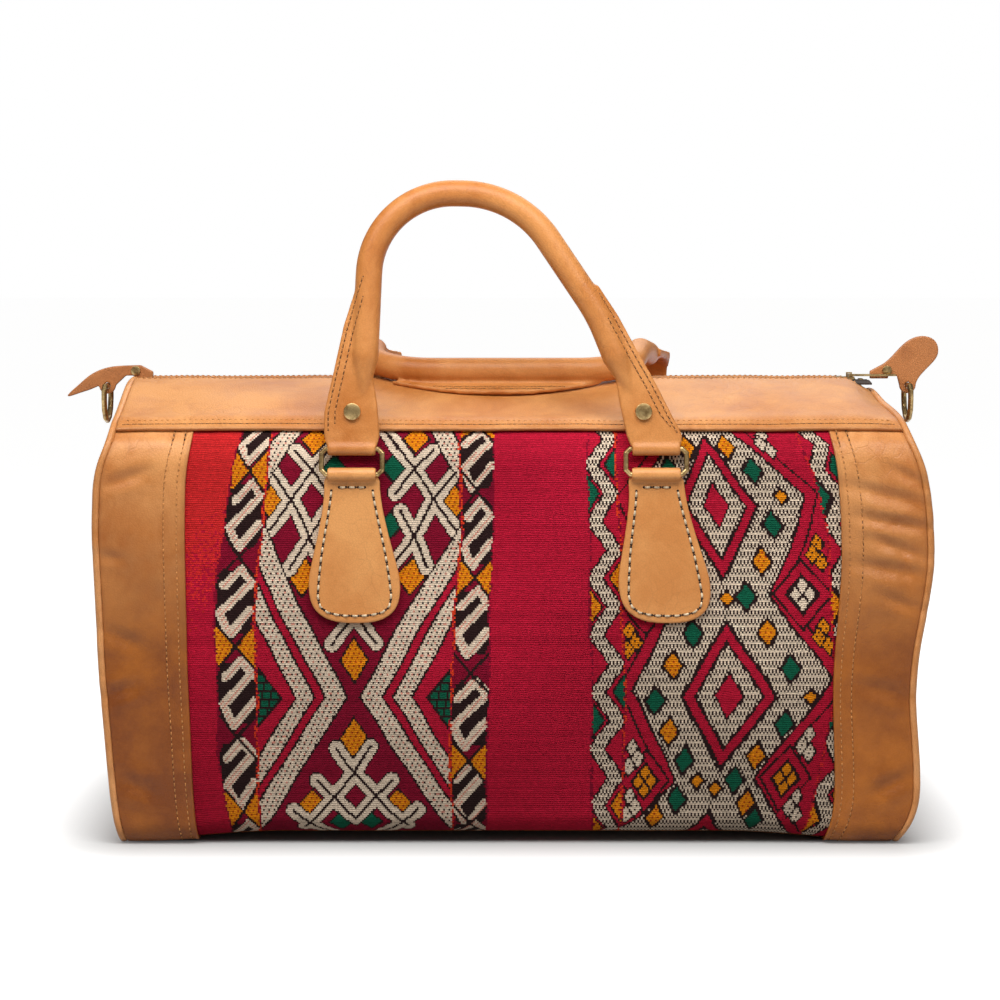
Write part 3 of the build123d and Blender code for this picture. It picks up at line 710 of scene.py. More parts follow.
    def diamonds(self, where: Points, x: Points, y: Points) -> None:
        """The wide column of ringed diamonds in a knotted lattice.

        Args:
            where: Stitches of the column.
            x: Places across the cloth.
            y: Places down the cloth.
        """
        centres = ((719, 312, 42, 71), (723, 507, 40, 71), (726, 697, 46, 71), (719, 889, 46, 74))
        gems = (
            (744.5, 446, 1), (768.6, 471, 0), (792, 496, 2), (778, 525, 0), (763, 562, 1),
            (747, 597, 0), (767, 633, 1), (788, 668, 0), (808, 697, 2), (785, 724, 0), (762, 757, 1),
            (742, 781, 0), (758, 804, 1), (771, 822, 0), (692, 634, 0), (671, 666, 1), (651.5, 701, 0),
            (668.6, 732, 1), (686.4, 761, 0), (702.5, 782, 2), (681, 800, 0), (659, 818, 1),
            (701, 446, 1), (678, 471, 0), (655, 496, 2), (669, 525, 0), (683, 562, 1), (699, 597, 0),
            (728, 600, 2), (722, 790, 2))
        kinds = (
            ((9.0, 12.5), Yarn.GREEN, None),
            ((9.0, 12.5), Yarn.ORANGE, Yarn.RUST),
            ((6.0, 6.5), Yarn.ORANGE, None))
        borders = (((759, 422), (824, 494), (777, 595), (838, 678), (770, 779), (812, 826), (832, 850)),
                   ((690, 424), (628, 498), (671, 602), (622, 690), (672, 781), (618, 830), (600, 850)))
        rings = [np.abs(x - cx) / hx + np.abs(y - cy) / hy for cx, cy, hx, hy in centres]
        nearest = np.min(rings, axis=0)
        reaches = [line_reach(x, y, line) for line in borders]
        room = np.minimum.reduce([(nearest - 1.08) * 36.0, *(reach - 7.0 for reach in reaches)])
        for gx, gy, kind in gems:
            wide, tall = kinds[kind][0]
            away = (np.abs(x - gx) / wide + np.abs(y - gy) / tall - 1) * wide * tall / math.hypot(wide, tall)
            room = np.minimum(room, away - 2.3)
        turns = np.where(((nearest * 4.0).astype(int) % 2) == 0, 1, -1)
        lean = turns * np.sign(np.sin((x - 726) / 60) + 1e-6)
        self.knotted(where, lean, room)
        for gx, gy, kind in gems:
            self.lozenge(where, x - gx, y - gy, *kinds[kind])
        for line, reach, side in zip(borders, reaches, (1, -1)):
            border = np.interp(y, [p[1] for p in line], [p[0] for p in line])
            self.paint(where & ((x - border) * side > 0), Yarn.CRIMSON)
            self.paint(where & (reach < 7.0), Yarn.DARK)
            self.paint(where & (reach < 4.9), Yarn.CRIMSON)
        self.fillers(where, x, y)
        for (cx, *_), m in zip(centres, rings):
            for size, yarn in ((1.08, Yarn.DARK), (1.0, Yarn.CRIMSON), (0.79, Yarn.DARK)):
                self.paint(where & (m < size), yarn)
            middle = np.abs(m - 0.535)
            lean = np.where(m > 0.535, 1, -1) * np.sign(x - cx + 0.01)
            self.knotted(where & (m < 0.73) & (m > 0.34), lean, 7.0 - middle * 36)
            self.paint(where & (m < 0.30), Yarn.CRIMSON)

    def fillers(self, where: Points, x: Points, y: Points) -> None:
        """The four-spotted diamonds and the clusters of three beside the lattice."""
        for sx, sy, half, yarn in ((803, 594, 28, Yarn.CREAM), (796, 778.5, 26, Yarn.ORANGE),
                                   (646, 781, 25, Yarn.ORANGE), (646, 600, 27, Yarn.CREAM)):
            m = np.abs(x - sx) / half + np.abs(y - sy) / (half * 1.2)
            for size, ground in ((1.12, Yarn.DARK), (1.0, Yarn.CRIMSON), (0.66, Yarn.DARK)):
                self.paint(where & (m < size), ground)
            for dx, dy in ((0, -9), (0, 9), (-7, 0), (7, 0)):
                self.paint(where & (np.abs(x - sx - dx) / 5.4 + np.abs(y - sy - dy) / 7.4 < 1), yarn)
        clusters = (
            (820, 553, Yarn.ORANGE, 1), (823, 636, Yarn.ORANGE, 1), (813, 744, Yarn.CREAM, 1),
            (812, 806, Yarn.CREAM, 1), (632, 757, Yarn.CREAM, -1), (630, 640, Yarn.ORANGE, -1),
            (631, 806, Yarn.CREAM, -1), (790, 440, Yarn.CREAM, 1))
        for tx, ty, yarn, side in clusters:
            for dx, dy in ((0, -9), (4 * side, 9), (-5 * side, 1)):
                self.lozenge(where, x - tx - dx, y - ty - dy, (6.5, 9), yarn, Yarn.DARK)


class Graph:
    """A shader tree, with short ways to add its usual nodes."""

    def __init__(self, tree: bpy.types.NodeTree) -> None:
        """Starts on an empty tree."""
        self.tree = tree
        self.coordinates = self.add("TexCoord").outputs
        self.place = self.coordinates["Object"]

    @classmethod
    def group(cls, name: str, inputs: Sequence[str], outputs: Sequence[str]) -> "Graph":
        """The graph of a new shader group with these sockets."""
        tree = bpy.data.node_groups.new(name, "ShaderNodeTree")
        for way, keys in (("INPUT", inputs), ("OUTPUT", outputs)):
            for key in keys:
                kind = "Color" if key in ("Light", "Deep", "Color") else "Float"
                tree.interface.new_socket(key, in_out=way, socket_type=f"NodeSocket{kind}")
        made = cls(tree)
        made.given = tree.nodes.new("NodeGroupInput").outputs
        return made

    @classmethod
    def material(cls, name: str) -> "Graph":
        """The graph of a new material with a Principled shader."""
        owner = bpy.data.materials.new(name)
        owner.use_nodes = True
        owner.node_tree.nodes.clear()
        made = cls(owner.node_tree)
        made.owner = owner
        made.shader = made.add("BsdfPrincipled")
        made.output = made.add("OutputMaterial", {0: made.shader.outputs[0]})
        return made

    def add(self, kind: str, links: Links | None = None, **settings: object) -> bpy.types.Node:
        """A node with its settings and inputs.

        Args:
            kind: Blender's node type, without ShaderNode before it.
            links: Input name or number to a value or another node's socket.
            **settings: Node settings.

        Returns:
            The node.
        """
        made = self.tree.nodes.new(f"ShaderNode{kind}")
        for key, value in settings.items():
            setattr(made, key, value)
        self.feed(made.inputs, links or {})
        return made

    def feed(self, inputs: bpy.types.NodeInputs, links: Links) -> None:
        """Sets or links inputs."""
        for key, value in links.items():
            if isinstance(value, Socket):
                self.tree.links.new(value, inputs[key])
            else:
                inputs[key].default_value = value

    def give(self, **links: Socket) -> bpy.types.NodeTree:
        """Links a group's outputs and hands over its tree."""
        self.feed(self.tree.nodes.new("NodeGroupOutput").inputs, links)
        return self.tree

    def math(self, work: str, *values: Socket | float) -> Socket:
        """The result of a math node."""
        return self.add("Math", dict(enumerate(values)), operation=work).outputs[0]

    def times(self, a: Socket | float, b: Socket | float) -> Socket:
        """A product."""
        return self.math("MULTIPLY", a, b)

    def plus(self, a: Socket | float, b: Socket | float) -> Socket:
        """A sum."""
        return self.math("ADD", a, b)

    def mix(self, share: Socket | float, a: object, b: object, mode: str = "MIX") -> Socket:
        """The Result of a colour mix."""
        return self.add("Mix", {0: share, 6: a, 7: b}, data_type="RGBA", blend_type=mode).outputs[2]

    def span(self, value: Socket, low: float, high: float, out_low: float = 0.0,
             out_high: float = 1.0) -> Socket:
        """Maps a value from one range to another, clamped."""
        links = {"Value": value, "From Min": low, "From Max": high, "To Min": out_low, "To Max": out_high}
        return self.add("MapRange", links).outputs[0]

    def noise(self, scale: float, detail: float, roughness: float = 0.5, distortion: float = 0.0,
              place: Socket | None = None, out: str | int = 0) -> Socket:
        """An output of a noise, on the object unless a place is given."""
        links = {"Vector": place or self.place, "Scale": scale, "Detail": detail, "Roughness": roughness,
                 "Distortion": distortion}
        return self.add("TexNoise", links).outputs[out]

    def cells(self, place: Socket, scale: float) -> Socket:
        """Distance from the walls between random cells."""
        links = {"Vector": place, "Scale": scale}
        return self.add("TexVoronoi", links, feature="DISTANCE_TO_EDGE").outputs[0]

    def surface(self, colour: object, roughness: Socket | float, height: Socket | None = None,
                depth: float = 0.0, strength: float = 1.0, **more: float) -> bpy.types.Material:
        """Feeds the Principled shader.

        Args:
            colour: Base colour.
            roughness: Roughness.
            height: Bump height, if there is any.
            depth: The bump's distance, in metres.
            strength: The bump's strength.
            **more: Other inputs, as specular or metallic.

        Returns:
            The material.
        """
        self.feed(self.shader.inputs, {"Base Color": colour, "Roughness": roughness})
        if height is not None:
            bump = self.add("Bump", {"Height": height, "Distance": depth, "Strength": strength})
            self.feed(self.shader.inputs, {"Normal": bump.outputs[0]})
        names = {"specular": "Specular IOR Level", "metallic": "Metallic"}
        self.feed(self.shader.inputs, {names[key]: value for key, value in more.items()})
        return self.owner


class Effects:
    """Shader groups that more than one finish uses."""

    def __init__(self) -> None:
        """Builds the groups once."""
        self.hide = self.make_hide()
        self.weave = self.make_weave()

    def make_hide(self) -> bpy.types.NodeTree:
        """Leather: clouded colour, darker pores, creases darkened with painted shade, and a grain for the
        bump.
        """
        g = Graph.group("Hide grain", ("Light", "Deep", "Rim", "Wear"), ("Color", "Grain", "Gloss"))
        cloud = g.noise(9.0, 5.0, 0.62)
        smear = g.noise(38.0, 4.0, 0.7, 0.6)
        pores = g.cells(g.place, 620.0)
        net = g.cells(g.mix(0.035, g.place, g.noise(30.0, 3.0, out="Color")), 88.0)
        crease = g.times(g.span(net, 0.0, 0.045, 1.0, 0.0), g.span(g.noise(16.0, 2.0), 0.48, 0.62))
        tone = g.span(g.plus(g.times(cloud, 0.65), g.times(smear, 0.35)), 0.41, 0.58)
        worn = g.times(g.span(g.given["Rim"], 0.0, 0.22, 1.0, 0.0), g.given["Wear"])
        colour = g.mix(tone, g.given["Deep"], g.given["Light"])
        colour = g.mix(worn, colour, (0.30, 0.105, 0.030, 1))
        colour = g.mix(g.span(pores, 0.0, 0.08, 0.16, 0.0), colour, (0.16, 0.055, 0.018, 1))
        # Painted shade: the colour darkens along the crease lines, as shade falls in the folds.
        colour = g.mix(g.times(crease, 0.12), colour, (0.16, 0.050, 0.014, 1))
        pebble = g.plus(g.times(g.span(pores, 0.0, 0.25), 0.6), g.times(g.noise(950.0, 3.0), 0.4))
        grain = g.math("SUBTRACT", pebble, g.times(crease, 0.8))
        return g.give(Color=colour, Grain=grain, Gloss=g.span(smear, 0.3, 0.7, 0.34, 0.50))

    def make_weave(self) -> bpy.types.NodeTree:
        """Plain weave: raised stitches on the piece's own map, with uneven yarn, and a Shade factor that
        paints shade in the hollows and a highlight on the stitch tops.
        """
        g = Graph.group("Plain weave", ("Across", "Along"), ("Height", "Shade"))
        place = g.coordinates["UV"]
        wobble = g.noise(26.0, 2.0, place=place)
        parts = g.add("SeparateXYZ", {0: place}).outputs
        u = g.plus(g.times(parts[0], g.given["Across"]), g.times(wobble, 1.6))
        v = g.plus(g.times(parts[1], g.given["Along"]), g.times(wobble, 1.2))
        stagger = g.plus(u, g.times(g.math("FLOOR", v), 0.5))
        bead, rib = (g.math("ABSOLUTE", g.math("SINE", g.times(way, math.pi))) for way in (stagger, v))
        height = g.times(g.math("POWER", rib, 0.55), g.span(bead, 0.0, 1.0, 0.62, 1.0))
        height = g.plus(height, g.times(g.noise(700.0, 2.0, place=place), 0.35))
        # Painted shade and highlight: the Shade factor follows the stitch height, from 0.5 in the hollows to
        # 1.12 on the tops.
        return g.give(Height=height, Shade=g.span(height, 0.25, 1.15, 0.50, 1.12))


@dataclass(frozen=True)
class LeatherFinish:
    """A hide's colours, how far its edges are burnished and how far it darkens towards the ground, partly as
    stain and partly as painted shade.
    """

    name: str
    light: Colour
    deep: Colour
    wear: float = 0.5
    bump: float = 0.00012
    low_stain_and_shade: float = 0.0

    def build(self, effects: Effects) -> bpy.types.Material:
        """The material, from the shared hide group."""
        g = Graph.material(self.name)
        rim = g.add("Attribute", attribute_name="edge").outputs["Fac"]
        links = {"Light": (*self.light, 1), "Deep": (*self.deep, 1), "Wear": self.wear, "Rim": rim}
        hide = g.add("Group", links, node_tree=effects.hide).outputs
        colour = hide["Color"]
        # Darker, blotched lower part: the blots are stain, and the fall towards the ground is painted shade
        # for the weaker light low on the bag.
        if self.low_stain_and_shade:
            height = g.add("SeparateXYZ", {0: g.place}).outputs[2]
            blot = g.span(g.noise(14.0, 6.0, 0.68), 0.36, 0.62)
            stain_and_shade_colour = g.mix(blot, (0.20, 0.048, 0.004, 1), (0.41, 0.122, 0.012, 1))
            colour = g.mix(g.span(height, 0.11, 0.235, self.low_stain_and_shade, 0.0), colour, stain_and_shade_colour)
        return g.surface(colour, hide["Gloss"], hide["Grain"], self.bump, specular=0.38)


@dataclass(frozen=True)
class WoolFinish:
    """Matt wool whose yarn colours are set stitch by stitch."""

    name: str
    across: float
    along: float

    def build(self, effects: Effects) -> bpy.types.Material:
        """The material, with the colour read from the cloth's own attribute."""
        g = Graph.material(self.name)
        yarn = g.add("Attribute", attribute_name="yarn").outputs["Color"]
        weave = g.add("Group", {"Across": self.across, "Along": self.along}, node_tree=effects.weave).outputs
        # The yarn colour is multiplied by the weave's painted shade and highlight.
        grey = g.add("CombineColor", {k: weave["Shade"] for k in range(3)}).outputs[0]
        return g.surface(g.mix(1.0, yarn, grey, "MULTIPLY"), 0.9, weave["Height"], 0.00045, specular=0.06)


@dataclass(frozen=True)
class ClothFinish:
    """Plain cloth or board in one colour with a fine weave."""

    name: str
    colour: Colour
    threads: float = 225.0

    def build(self) -> bpy.types.Material:
        """The material."""
        g = Graph.material(self.name)
        wave = g.add("TexWave", {"Vector": g.place, "Scale": self.threads, "Distortion": 0.6}).outputs[1]
        # Partly painted shade, partly uneven tone: the colour darkens along the low lines of the weave that
        # also drive the bump, and varies with noise.
        shade = g.plus(g.span(wave, 0.0, 1.0, 0.35, 0.6), g.times(g.noise(60.0, 4.0), 0.4))
        colour = g.mix(shade, (*(0.45 * c for c in self.colour), 1), (*self.colour, 1))
        return g.surface(colour, 0.88, wave, 0.0001, 0.8)


@dataclass(frozen=True)
class MetalFinish:
    """Antique brass: polished where it rubs, brown in the hollows."""

    name: str
    bright: Colour
    dull: Colour

    def build(self) -> bpy.types.Material:
        """The material."""
        g = Graph.material(self.name)
        blot = g.noise(210.0, 5.0, 0.65)
        colour = g.mix(g.span(blot, 0.36, 0.62), (*self.dull, 1), (*self.bright, 1))
        gloss = g.span(blot, 0.3, 0.7, 0.46, 0.26)
        return g.surface(colour, gloss, g.noise(1400.0, 2.0), 0.00003, 0.5, metallic=1.0)


@dataclass(frozen=True)
class ThreadFinish:
    """Sewing thread, or the holes beside it, whose dark colour is painted shade."""

    name: str
    colour: Colour
    roughness: float = 0.6

    def build(self) -> bpy.types.Material:
        """The material, with a slight unevenness along the thread."""
        g = Graph.material(self.name)
        share = g.span(g.noise(500.0, 2.0), 0.35, 0.65)
        colour = g.mix(share, (*(0.6 * c for c in self.colour), 1), (*self.colour, 1))
        return g.surface(colour, self.roughness)


class Finishes:
    """All the materials, each built once."""

    def __init__(self) -> None:
        """Builds the materials."""
        effects = Effects()
        self.tan = LeatherFinish("Tan hide", (0.66, 0.290, 0.090), (0.48, 0.165, 0.036), 0.35).build(effects)
        self.strip = LeatherFinish(
            "Strip hide", (0.72, 0.320, 0.105), (0.50, 0.165, 0.034), low_stain_and_shade=1.0).build(effects)
        self.pale = LeatherFinish(
            "Pale hide", (0.76, 0.345, 0.110), (0.62, 0.240, 0.062), 0.45, 0.00006).build(effects)
        self.rolled = LeatherFinish(
            "Rolled hide", (0.66, 0.270, 0.075), (0.48, 0.155, 0.030), 0.2, 0.00008).build(effects)
        self.welt = LeatherFinish(
            "Welt hide", (0.70, 0.320, 0.120), (0.50, 0.185, 0.045), 0.0).build(effects)
        self.dark = LeatherFinish(
            "Tongue hide", (0.50, 0.190, 0.062), (0.28, 0.092, 0.028), 0.55).build(effects)
        across, along = (SheetMesh.map_scale / step for step in (Body.stitch_length, Body.stitch_height))
        self.wool = WoolFinish("Flat woven wool", across, along).build(effects)
        self.brass = MetalFinish("Antique brass", (0.62, 0.44, 0.20), (0.20, 0.125, 0.050)).build()
        self.teeth = MetalFinish("Zip brass", (0.42, 0.30, 0.14), (0.13, 0.085, 0.04)).build()
        self.tape = ClothFinish("Zip tape", (0.045, 0.030, 0.024)).build()
        self.lining = ClothFinish("Cotton lining", (0.30, 0.21, 0.14)).build()
        self.board = ClothFinish("Base board", (0.33, 0.24, 0.15), 75.0).build()
        self.thread = ThreadFinish("Machine thread", (0.60, 0.250, 0.065)).build()
        self.waxed = ThreadFinish("Waxed thread", (0.78, 0.63, 0.42)).build()
        # The awl holes' near-black brown is painted shade inside the pits.
        self.hole = ThreadFinish("Awl holes", (0.045, 0.018, 0.008), 0.9).build()


@dataclass
class Stitching:
    """Rows of thread laid on a surface."""

    length: float
    pitch: float
    width: float
    height: float
    hole: float
    sides: int = 6

    def sew(self, name: str, paths: Sequence[tuple[Points, Points] | None], thread: bpy.types.Material,
            holes: bpy.types.Material, body: str) -> None:
        """One piece with a stitch at every pitch along each path.

        Args:
            name: The piece's name.
            paths: Points on the surface and the outward directions there, or None for a missed surface.
            thread: The thread's material.
            holes: The material of the holes at the stitches' ends, a dark painted shade.
            body: The body that the piece moves with.
        """
        stitches = []
        for path, normals in filter(None, paths):
            ways = line_ways(path)
            count = int(ways[-1] / self.pitch)
            slack = (ways[-1] - count * self.pitch) / 2
            for middle in slack + (np.arange(count) + 0.5) * self.pitch:
                reach = np.array([-0.5, 0.0, 0.5]) * self.length
                ends = line_at(middle + reach, ways, path)
                stitches.append(self.stitch(ends, line_at(middle, ways, normals)))
        numbers = np.arange(9 * self.sides).reshape(9, self.sides)
        turned = [1, 0, 3, 2]
        bead = [*ring_quads(numbers[:5])[:, turned], numbers[0], numbers[4][::-1]]
        pits = [face for k in (5, 7) for face in (numbers[k], *ring_quads(numbers[k:k + 2])[:, turned])]
        faces = [face + k * numbers.size for k in range(len(stitches)) for face in (*bead, *pits)]
        made = mesh_object(name, np.vstack(stitches) * MM, faces)
        dress(made, (thread, holes), "leather_edge", body)
        tones = ([0] * len(bead) + [1] * len(pits)) * len(stitches)
        made.data.polygons.foreach_set("material_index", tones)

    def stitch(self, ends: Points, normal: Points) -> Points:
        """One bead of thread that dips into a hole at each end.

        Args:
            ends: Its start, middle and end.
            normal: The surface's outward direction.

        Returns:
            Five rings of the bead, then a mouth and a floor for each hole.
        """
        a, c, b = ends
        n = normal / (np.linalg.norm(normal) + 1e-9)
        along = (b - a) / (np.linalg.norm(b - a) + 1e-9)
        across = np.cross(n, along)
        turn = 2 * math.pi * np.arange(self.sides)[:, None] / self.sides
        dip = 0.22 * (b - a)
        rings = []
        bead = (
            (a, 0.35, -0.12), (a + dip, 0.95, 0.30), (c, 1.0, 0.42), (b - dip, 0.95, 0.30), (b, 0.35, -0.12))
        for centre, size, rise in bead:
            lift = (2 * rise + np.sin(turn) * size / 2) * self.height
            rings.append(centre + n * lift + across * (np.cos(turn) * size * self.width / 2))
        for end, way in ((a, -0.3), (b, 0.3)):
            mouth = end + n * 0.06 + (along * (way + np.cos(turn)) + across * np.sin(turn)) * self.hole
            rings += [mouth, mouth - n * 0.35]
        return np.vstack(rings)


MACHINE = Stitching(length=2.3, pitch=3.4, width=0.75, height=0.42, hole=0.42)
HAND = Stitching(length=3.6, pitch=5.6, width=1.35, height=0.85, hole=0.85)


@dataclass
class Surface:
    """Ray casts on a finished piece, to lay thread on it."""

    tree: BVHTree

    @classmethod
    def of(cls, made: Thing) -> "Surface":
        """The surface of one object, in metres."""
        return cls(BVHTree.FromPolygons([v.co.copy() for v in made.data.vertices],
                                        [tuple(p.vertices) for p in made.data.polygons]))

    def lay(self, path: Points, toward: Sequence[float], reach: float = 60.0) -> tuple[Points, Points] | None:
        """Drops a path onto the surface.

        Args:
            path: Points near the surface, in mm.
            toward: The direction in which they are dropped.
            reach: How far outside the path the rays start, in mm.

        Returns:
            Points on the surface and the normals there, or None where too few rays hit.
        """
        way = Vector(toward).normalized()
        hits = [self.tree.ray_cast(Vector(p) * MM - way * reach * MM, way, 0.3) for p in path]
        hits = [hit for hit in hits if hit[0] is not None]
        if len(hits) < 3:
            return None
        normals = np.array([n if n.dot(way) < 0 else -n for _, n, *_ in hits])
        for _ in range(3):
            normals[1:-1] = (normals[:-2] + normals[1:-1] + normals[2:]) / 3
        return np.array([hit[0] for hit in hits]) / MM, normals


def soften(node: str, name: str, voxel: float, rounds: int, flat: bool) -> Thing:
    """A leather piece from a CAD node: its cut corners melt into each other as hide does.

    Args:
        node: The CAD node to start from.
        name: The new piece's name.
        voxel: Remesh size, in mm.
        rounds: Smoothing rounds.
        flat: Whether it faces along Y and its slanting edges count as a worn rim.

    Returns:
        The new object.
    """
    made = link_object(name, bpy.data.objects[node].data.copy())
    face_out(made, merge=0.000002)
    remesh = made.modifiers.new("Remesh", "REMESH")
    remesh.mode = "VOXEL"
    remesh.voxel_size = voxel * MM
    bpy.ops.object.modifier_apply(modifier=remesh.name)
    melt = made.modifiers.new("Melt", "SMOOTH")
    melt.factor = 0.5
    melt.iterations = rounds
    bpy.ops.object.modifier_apply(modifier=melt.name)
    made.data.shade_smooth()
    slant = np.array([abs(v.normal.y) if flat else 1.0 for v in made.data.vertices])
    put_attribute(made, "edge", np.clip((slant - 0.3) / 0.7, 0, 1))
    return made


@dataclass
class Body:
    """The sewn body: wool sides, leather strips, roof bands, base, end panels and welts."""

    finishes: Finishes
    section: Section = field(default_factory=Section)
    sag: Sag = field(default_factory=Sag)
    half_length: float = 240.0
    strip: float = 48.0
    seam_height: float = 247.0
    base_way: float = 86.0
    zip_edge: float = 8.0
    wool_half: float = 199.0
    wool_start: float = 79.0
    wool_top: float = 251.0
    stitch_length: float = 1.05
    stitch_height: float = 1.25
    strip_rows: tuple[float, ...] = (4.5, 11.5)
    shoulder_rows: tuple[float, ...] = (2.6, 6.2)
    dome_middle: float = 138.0
    rim: tuple[float, ...] = (0.12, 0.35, 0.7, 1.1)

    def __post_init__(self) -> None:
        """Prepares the sheet builder and the seams' places."""
        self.sheets = SheetMesh(self.section, self.sag)
        self.seam = self.section.way_at_height(self.seam_height)
        self.roof_edge = self.section.length - self.zip_edge
        self.seams: list[tuple[Points, Points]] = []

    def wool(self, side: Side) -> None:
        """One woven side, with a colour for every stitch."""
        top = self.section.way_at_height(self.wool_top)
        ways = facing(side, spaced(self.wool_start, top, self.stitch_height))
        xs = spaced(-self.wool_half, self.wool_half, self.stitch_length)
        made = self.sheets.build(f"wool_{word(side)}", xs, ways, HIDE, 1.6, leather=CLOTH_CREASING,
                                 round_rim=False, closed=False)
        x, s = np.meshgrid((xs[:-1] + xs[1:]) / 2, np.abs((ways[:-1] + ways[1:]) / 2), indexing="ij")
        i, j = np.indices(x.shape)
        lie = self.lie(x.ravel(), s.ravel())
        full = np.ones((len(made.data.polygons), 4), np.float32)
        full[:, :3] = Yarn.CRIMSON.value
        full[:x.size, :3] = FlatWeave().colours(*lie, i.ravel(), j.ravel(), side is Side.REAR, seed=7)
        layer = made.data.attributes.new("yarn", "FLOAT_COLOR", "CORNER")
        layer.data.foreach_set("color", np.repeat(full, 4, axis=0).ravel())
        dress(made, [self.finishes.wool], "kilim", "root", f"{word(side)}_kilim_panel")

    def lie(self, x: Points, s: Points) -> tuple[Points, Points]:
        """Where stitches of the wool lie on the filled bag: along it, and up its side."""
        low, high = self.section.marks[2:4]
        points, normal = self.sheets.place(x, -np.clip(s, low, high), HIDE)
        moved = self.sag.move(points, normal, CLOTH_CREASING)
        return moved[:, 0], moved[:, 2] + np.minimum(s - low, 0) + np.maximum(s - high, 0)

    def seam_row(self, x: Points, way: Points | float, inset: float, leather: float = 1.0) -> None:
        """Notes a row of machine stitches along a pattern line."""
        x, s = np.broadcast_arrays(x, way)
        points, normal = self.sheets.place(x, s, inset)
        self.seams.append((self.sag.move(points, normal, leather), normal))

    def strips(self) -> None:
        """The four leather strips beside the end seams."""
        for side in Side:
            ways = facing(side, spaced(self.base_way, self.seam + 3.0, 2.2, self.rim))
            for end in End:
                inner = end.value * (self.half_length - self.strip)

                def lift(x: Points, s: Points, inner: float = inner, turn: int = end.value) -> Points:
                    """A raised cut edge, two stitched grooves and a thinned top under the roof band."""
                    away = (x - inner) * turn
                    groove = 0.35 * sum(bell(away, row, 1.1) for row in self.strip_rows)
                    under = 1.3 * smooth(self.seam - 12, self.seam - 3, np.abs(s))
                    return 0.5 * bell(away, 0, 2.6) - groove - under

                xs = spaced(*sorted((inner, end.value * self.half_length)), 2.0, self.rim)
                made = self.sheets.build(f"strip_{word(side)}_{word(end)}", xs, ways, 0.0, HIDE, lift)
                dress(made, [self.finishes.strip], "leather", "root", f"{word(side)}_{word(end)}_band")
                for row in self.strip_rows:
                    self.seam_row(inner + end.value * row, np.linspace(ways[1], ways[-5], 160), 0.3)

    def roof_lift(self, x: Points, s: Points) -> Points:
        """A roof band's rise: its lower edge stands over the sides and its rows lie in grooves."""
        away = np.abs(s) - self.seam
        groove = 0.3 * sum(bell(away, row, 1.0) for row in self.shoulder_rows)
        thin = smooth(0.0, 6.0, 6 - self.roof_edge + np.abs(s))
        return 1.5 - 1.1 * smooth(4.0, 22.0, away) - groove - 0.3 * thin

    def roof(self) -> None:
        """The two roof bands."""
        xs = spaced(-self.half_length, self.half_length, 3.2, self.rim)
        along = np.linspace(-self.half_length + 3, self.half_length - 3, 300)
        low, high = (self.seam + row for row in self.shoulder_rows)
        rows = ((low, -1.25), (high, -1.1), (self.roof_edge - 3.0, -0.3), (self.roof_edge - 6.6, -0.3))
        for side in Side:
            ways = facing(side, spaced(self.seam - 1.5, self.roof_edge, 2.2, self.rim))
            name = f"roof_band_{word(side)}"
            made = self.sheets.build(name, xs, ways, 0.0, HIDE, self.roof_lift, ROOF_CREASING)
            dress(made, [self.finishes.tan], "leather", "root", f"top_band_{word(side)}")
            for way, inset in rows:
                self.seam_row(along, side.value * way, inset, ROOF_CREASING)

    def base(self) -> None:
        """The base panel."""
        xs = spaced(-self.half_length, self.half_length, 5.0, self.rim)
        ways = spaced(-self.base_way, self.base_way, 4.0, self.rim)
        made = self.sheets.build("base_leather", xs, ways, 0.0, HIDE)
        dress(made, [self.finishes.strip], "leather", "root", "base_panel")

    def round_section(self, x: float, inset: float, count: int) -> tuple[Points, Points, Points]:
        """A closed line round the section.

        Args:
            x: Its place along the bag.
            inset: Depth under the skin.
            count: How many points it has.

        Returns:
            Distances along the skin, points and outward directions.
        """
        way = np.linspace(-self.section.length, self.section.length, count + 1)[:-1]
        return way, *self.sheets.place(np.full(count, x), way, inset)

    def fan(self, name: str, end: End, x: float, inset: float, bulge: float, rings: int) -> Thing:
        """A wall across the bag, as rings that shrink from the section to a point.

        Args:
            name: The piece's name.
            end: The end of the bag that it faces.
            x: Distance of its rim from the bag's middle.
            inset: Depth of its rim under the skin.
            bulge: How far its middle stands out.
            rings: Count of the rings.

        Returns:
            The new object, with a hide's thickness.
        """
        way, anchor, normal = self.round_section((x + 4.0) * end.value, inset, 360)
        shift = self.sag.move(anchor, normal) - anchor
        n = len(way)
        rows = []
        for t in np.arange(rings + 1) / rings:
            shrink = 1 - t
            swell = bulge * (0.25 * smooth(0.0, 0.05, t) + 1 - shrink**2.4)
            crease = bulge * 0.16 * np.sin(t * 9 + 3 * np.sin(way / 71.0)) * t * shrink * shrink
            row = (anchor + shift - (0, 0, self.dome_middle)) * shrink + (0, 0, self.dome_middle)
            slide = shift[:, 0] * shrink + 0.5 * shift[:, 0].mean() * t
            row[:, 0] = (x + swell + crease) * end.value + slide
            rows.append(row)
        grid = np.arange(rings * n).reshape(rings, n)
        tip = np.stack([grid[-1], np.roll(grid[-1], -1), np.full(n, rings * n)], -1)
        turn = slice(None, None, end.value)
        faces = [*ring_quads(grid)[:, turn], *tip[:, turn]]
        made = mesh_object(name, np.vstack([*rows[:-1], rows[-1].mean(0)]) * MM, faces)
        put_attribute(made, "edge", np.clip(np.append(np.repeat(np.arange(rings) / 8.0, n), 1.0), 0, 1))
        shell = made.modifiers.new("Hide", "SOLIDIFY")
        shell.thickness = 1.5 * MM
        shell.offset = -1
        select(made)
        bpy.ops.object.modifier_apply(modifier=shell.name)
        return made

    def ends(self) -> None:
        """The end panels, shallow domes of soft hide, and the welts round them."""
        for end in End:
            made = self.fan(f"end_leather_{word(end)}", end, 236.0, 4.6, 12.0, 34)
            dress(made, [self.finishes.strip], "leather", "root", f"end_panel_{word(end)}")
            self.welt(end)

